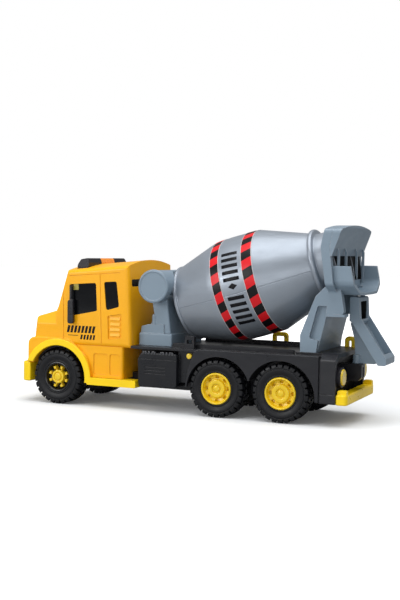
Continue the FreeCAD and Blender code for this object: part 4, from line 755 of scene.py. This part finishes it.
def door_mark(side):
    """Plain printed bars on the door: one bold row, and a fine line with small squares below."""
    low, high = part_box("cab_shell")
    sign = 1.0 if side == "left" else -1.0
    face = sign * DOOR_Y
    bars = [slanted_bar(index * DOOR_BAR_PITCH, 0.0, DOOR_BAR_RISE, DOOR_BAR_WIDTH, DOOR_BAR_SLANT)
            for index in range(DOOR_BARS)]
    start, end = DOOR_LINE
    bars.append([(start, -3.0), (end, -3.0), (end, -2.4), (start, -2.4)])
    bars += [slanted_bar(DOOR_SQUARE_START + index * DOOR_SQUARE_PITCH, -6.4, -1.6, 2.1, 0.9)
             for index in range(DOOR_SQUARES)]
    outlines = [millimetres(high.x - DOOR_MARK_BACK, low.z + DOOR_MARK_RISE, bar) for bar in bars]
    mark = plate(f"door_mark_{side}", outlines, face, face + sign * PRINT_PROUD * MM,
                 MATERIALS["print_black"])
    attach(mark, "truck")


def window_tab(side):
    """Small yellow tab behind the top front corner of the door window."""
    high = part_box(f"window_insert_{side}")[1]
    sign, face = outer_side(side, f"window_insert_{side}")
    outline = millimetres(high.x - TAB_SET[0] * MM, high.z - TAB_SET[1] * MM,
                          [(0.0, 0.0), (5.4, 0.3), (5.6, -6.0), (-0.2, -6.4)])
    tab = plate(f"window_tab_{side}", [outline], face - sign * 0.3 * MM, face + sign * 0.25 * MM,
                MATERIALS["tab_yellow"], soften=0.1 * MM)
    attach(tab, "truck")


def box_ribs(side):
    """Row of small rounded ribs along the top edge of a side box."""
    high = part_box(f"side_box_{side}")[1]
    sign, face = outer_side(side, f"side_box_{side}")
    ribs = []
    for index in range(RIB_COUNT):
        if index == RIB_GAP:
            continue
        lean = RIB_LEANS[index % len(RIB_LEANS)]
        far = RIB_WIDTH + lean
        ribs.append(millimetres(high.x - (RIB_START + index * RIB_PITCH) * MM, high.z,
                                [(0.0, -4.6), (RIB_WIDTH, -4.4), (far, -1.6), (lean, -1.4)]))
    row = plate(f"box_ribs_{side}", ribs, face - sign * 0.8 * MM, face + sign * 0.6 * MM,
                MATERIALS["rib_gloss"], soften=0.35 * MM)
    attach(row, "truck")


# ---------------------------------------------------------------- stage, light and camera
FLOOR_HALF = 6.0
FLOOR_COOLING = (0.96, 0.98, 1.0)     # share of each colour channel
GLOW = (0.04, 1.0)                    # the floor's own light near the truck and far from it
GLOW_REACH = (0.28, 0.85)             # where the glow starts to rise and where it is full
SURROUND_LIGHT = 0.33
CAMERA_PLACE = Vector((-0.3942, 0.9075, 0.1531))
CAMERA_AIM = Vector((0.00796, 0.0, 0.10649))
CAMERA_ROLL = math.radians(1.02)
SENSOR_WIDTH = 36.0
LENS = 60.44


def floor():
    """Seamless white sweep: it keeps the contact shadow near the truck and fades to pure white."""
    mesh = bpy.data.meshes.new("floor")
    half = FLOOR_HALF
    mesh.from_pydata([(-half, -half, 0), (half, -half, 0), (half, half, 0), (-half, half, 0)], [],
                     [(0, 1, 2, 3)])
    sweep = bpy.data.objects.new("floor", mesh)
    bpy.context.scene.collection.objects.link(sweep)
    graph = Graph("floor")
    seen = graph.add("ShaderNodeLightPath").outputs["Is Camera Ray"]
    place = graph.add("ShaderNodeTexCoord").outputs["Object"]
    distance = graph.add("ShaderNodeVectorMath", {0: place}, operation="LENGTH").outputs["Value"]
    fade = graph.spread(distance, *GLOW, *GLOW_REACH)
    tone = graph.spread(graph.noise(6.0), 0.93, 0.95)
    albedo = graph.spread(seen, 0.45, 1.0)
    grey = graph.math("MULTIPLY", tone, albedo)
    cool = [graph.math("MULTIPLY", grey, share) for share in FLOOR_COOLING]
    colour = graph.add("ShaderNodeCombineColor", dict(zip(("Red", "Green", "Blue"), cool)))
    graph.set(Base_Color=colour.outputs[0], Roughness=0.8, Specular_IOR_Level=0.1,
              Emission_Color=(1.0, 1.0, 1.0, 1.0), Emission_Strength=graph.math("MULTIPLY", seen, fade))
    mesh.materials.append(graph.material)


def area_light(name, position, target, size, power):
    lamp = bpy.data.lights.new(name, "AREA")
    lamp.shape = "RECTANGLE"
    lamp.size, lamp.size_y = size
    lamp.energy = power
    holder = bpy.data.objects.new(name, lamp)
    bpy.context.scene.collection.objects.link(holder)
    holder.location = position
    holder.rotation_euler = (Vector(target) - Vector(position)).to_track_quat("-Z", "Y").to_euler()


def world():
    """White surround that is bright to the camera and softer as a light source."""
    surround = bpy.data.worlds.new("surround")
    bpy.context.scene.world = surround
    surround.use_nodes = True
    tree = surround.node_tree
    tree.nodes.clear()
    path = tree.nodes.new("ShaderNodeLightPath")
    seen = tree.nodes.new("ShaderNodeBackground")
    lit = tree.nodes.new("ShaderNodeBackground")
    mixer = tree.nodes.new("ShaderNodeMixShader")
    output = tree.nodes.new("ShaderNodeOutputWorld")
    seen.inputs["Color"].default_value = (1, 1, 1, 1)
    seen.inputs["Strength"].default_value = 1.0
    lit.inputs["Color"].default_value = (1, 1, 1, 1)
    lit.inputs["Strength"].default_value = SURROUND_LIGHT
    tree.links.new(path.outputs["Is Camera Ray"], mixer.inputs[0])
    tree.links.new(lit.outputs[0], mixer.inputs[1])
    tree.links.new(seen.outputs[0], mixer.inputs[2])
    tree.links.new(mixer.outputs[0], output.inputs["Surface"])


def camera():
    """Camera on the truck's left, a little behind square on and slightly rolled."""
    data = bpy.data.cameras.new("camera")
    data.sensor_width = SENSOR_WIDTH
    data.lens = LENS
    data.clip_start, data.clip_end = 0.01, 20.0
    eye = bpy.data.objects.new("camera", data)
    bpy.context.scene.collection.objects.link(eye)
    look = (CAMERA_AIM - CAMERA_PLACE).to_track_quat("-Z", "Y")
    eye.location = CAMERA_PLACE
    eye.rotation_mode = "QUATERNION"
    eye.rotation_quaternion = look @ Matrix.Rotation(CAMERA_ROLL, 4, "Z").to_quaternion()
    bpy.context.scene.camera = eye


def lighting():
    area_light("overhead", (-0.12, 0.10, 1.2), (0, 0, 0.08), (1.5, 1.2), 17.5)
    area_light("front_key", (0.8, 1.2, 0.55), (0.02, 0, 0.06), (0.8, 0.6), 8.7)
    area_light("camera_fill", (-0.5, 1.5, 0.30), (0, 0, 0.07), (1.2, 0.5), 3.9)


dress_cad_nodes()
wheels()
drum()
for side in ("left", "right"):
    door_mark(side)
    window_tab(side)
    box_ribs(side)
floor()
world()
lighting()
camera()
bpy.context.scene.view_settings.view_transform = "Standard"
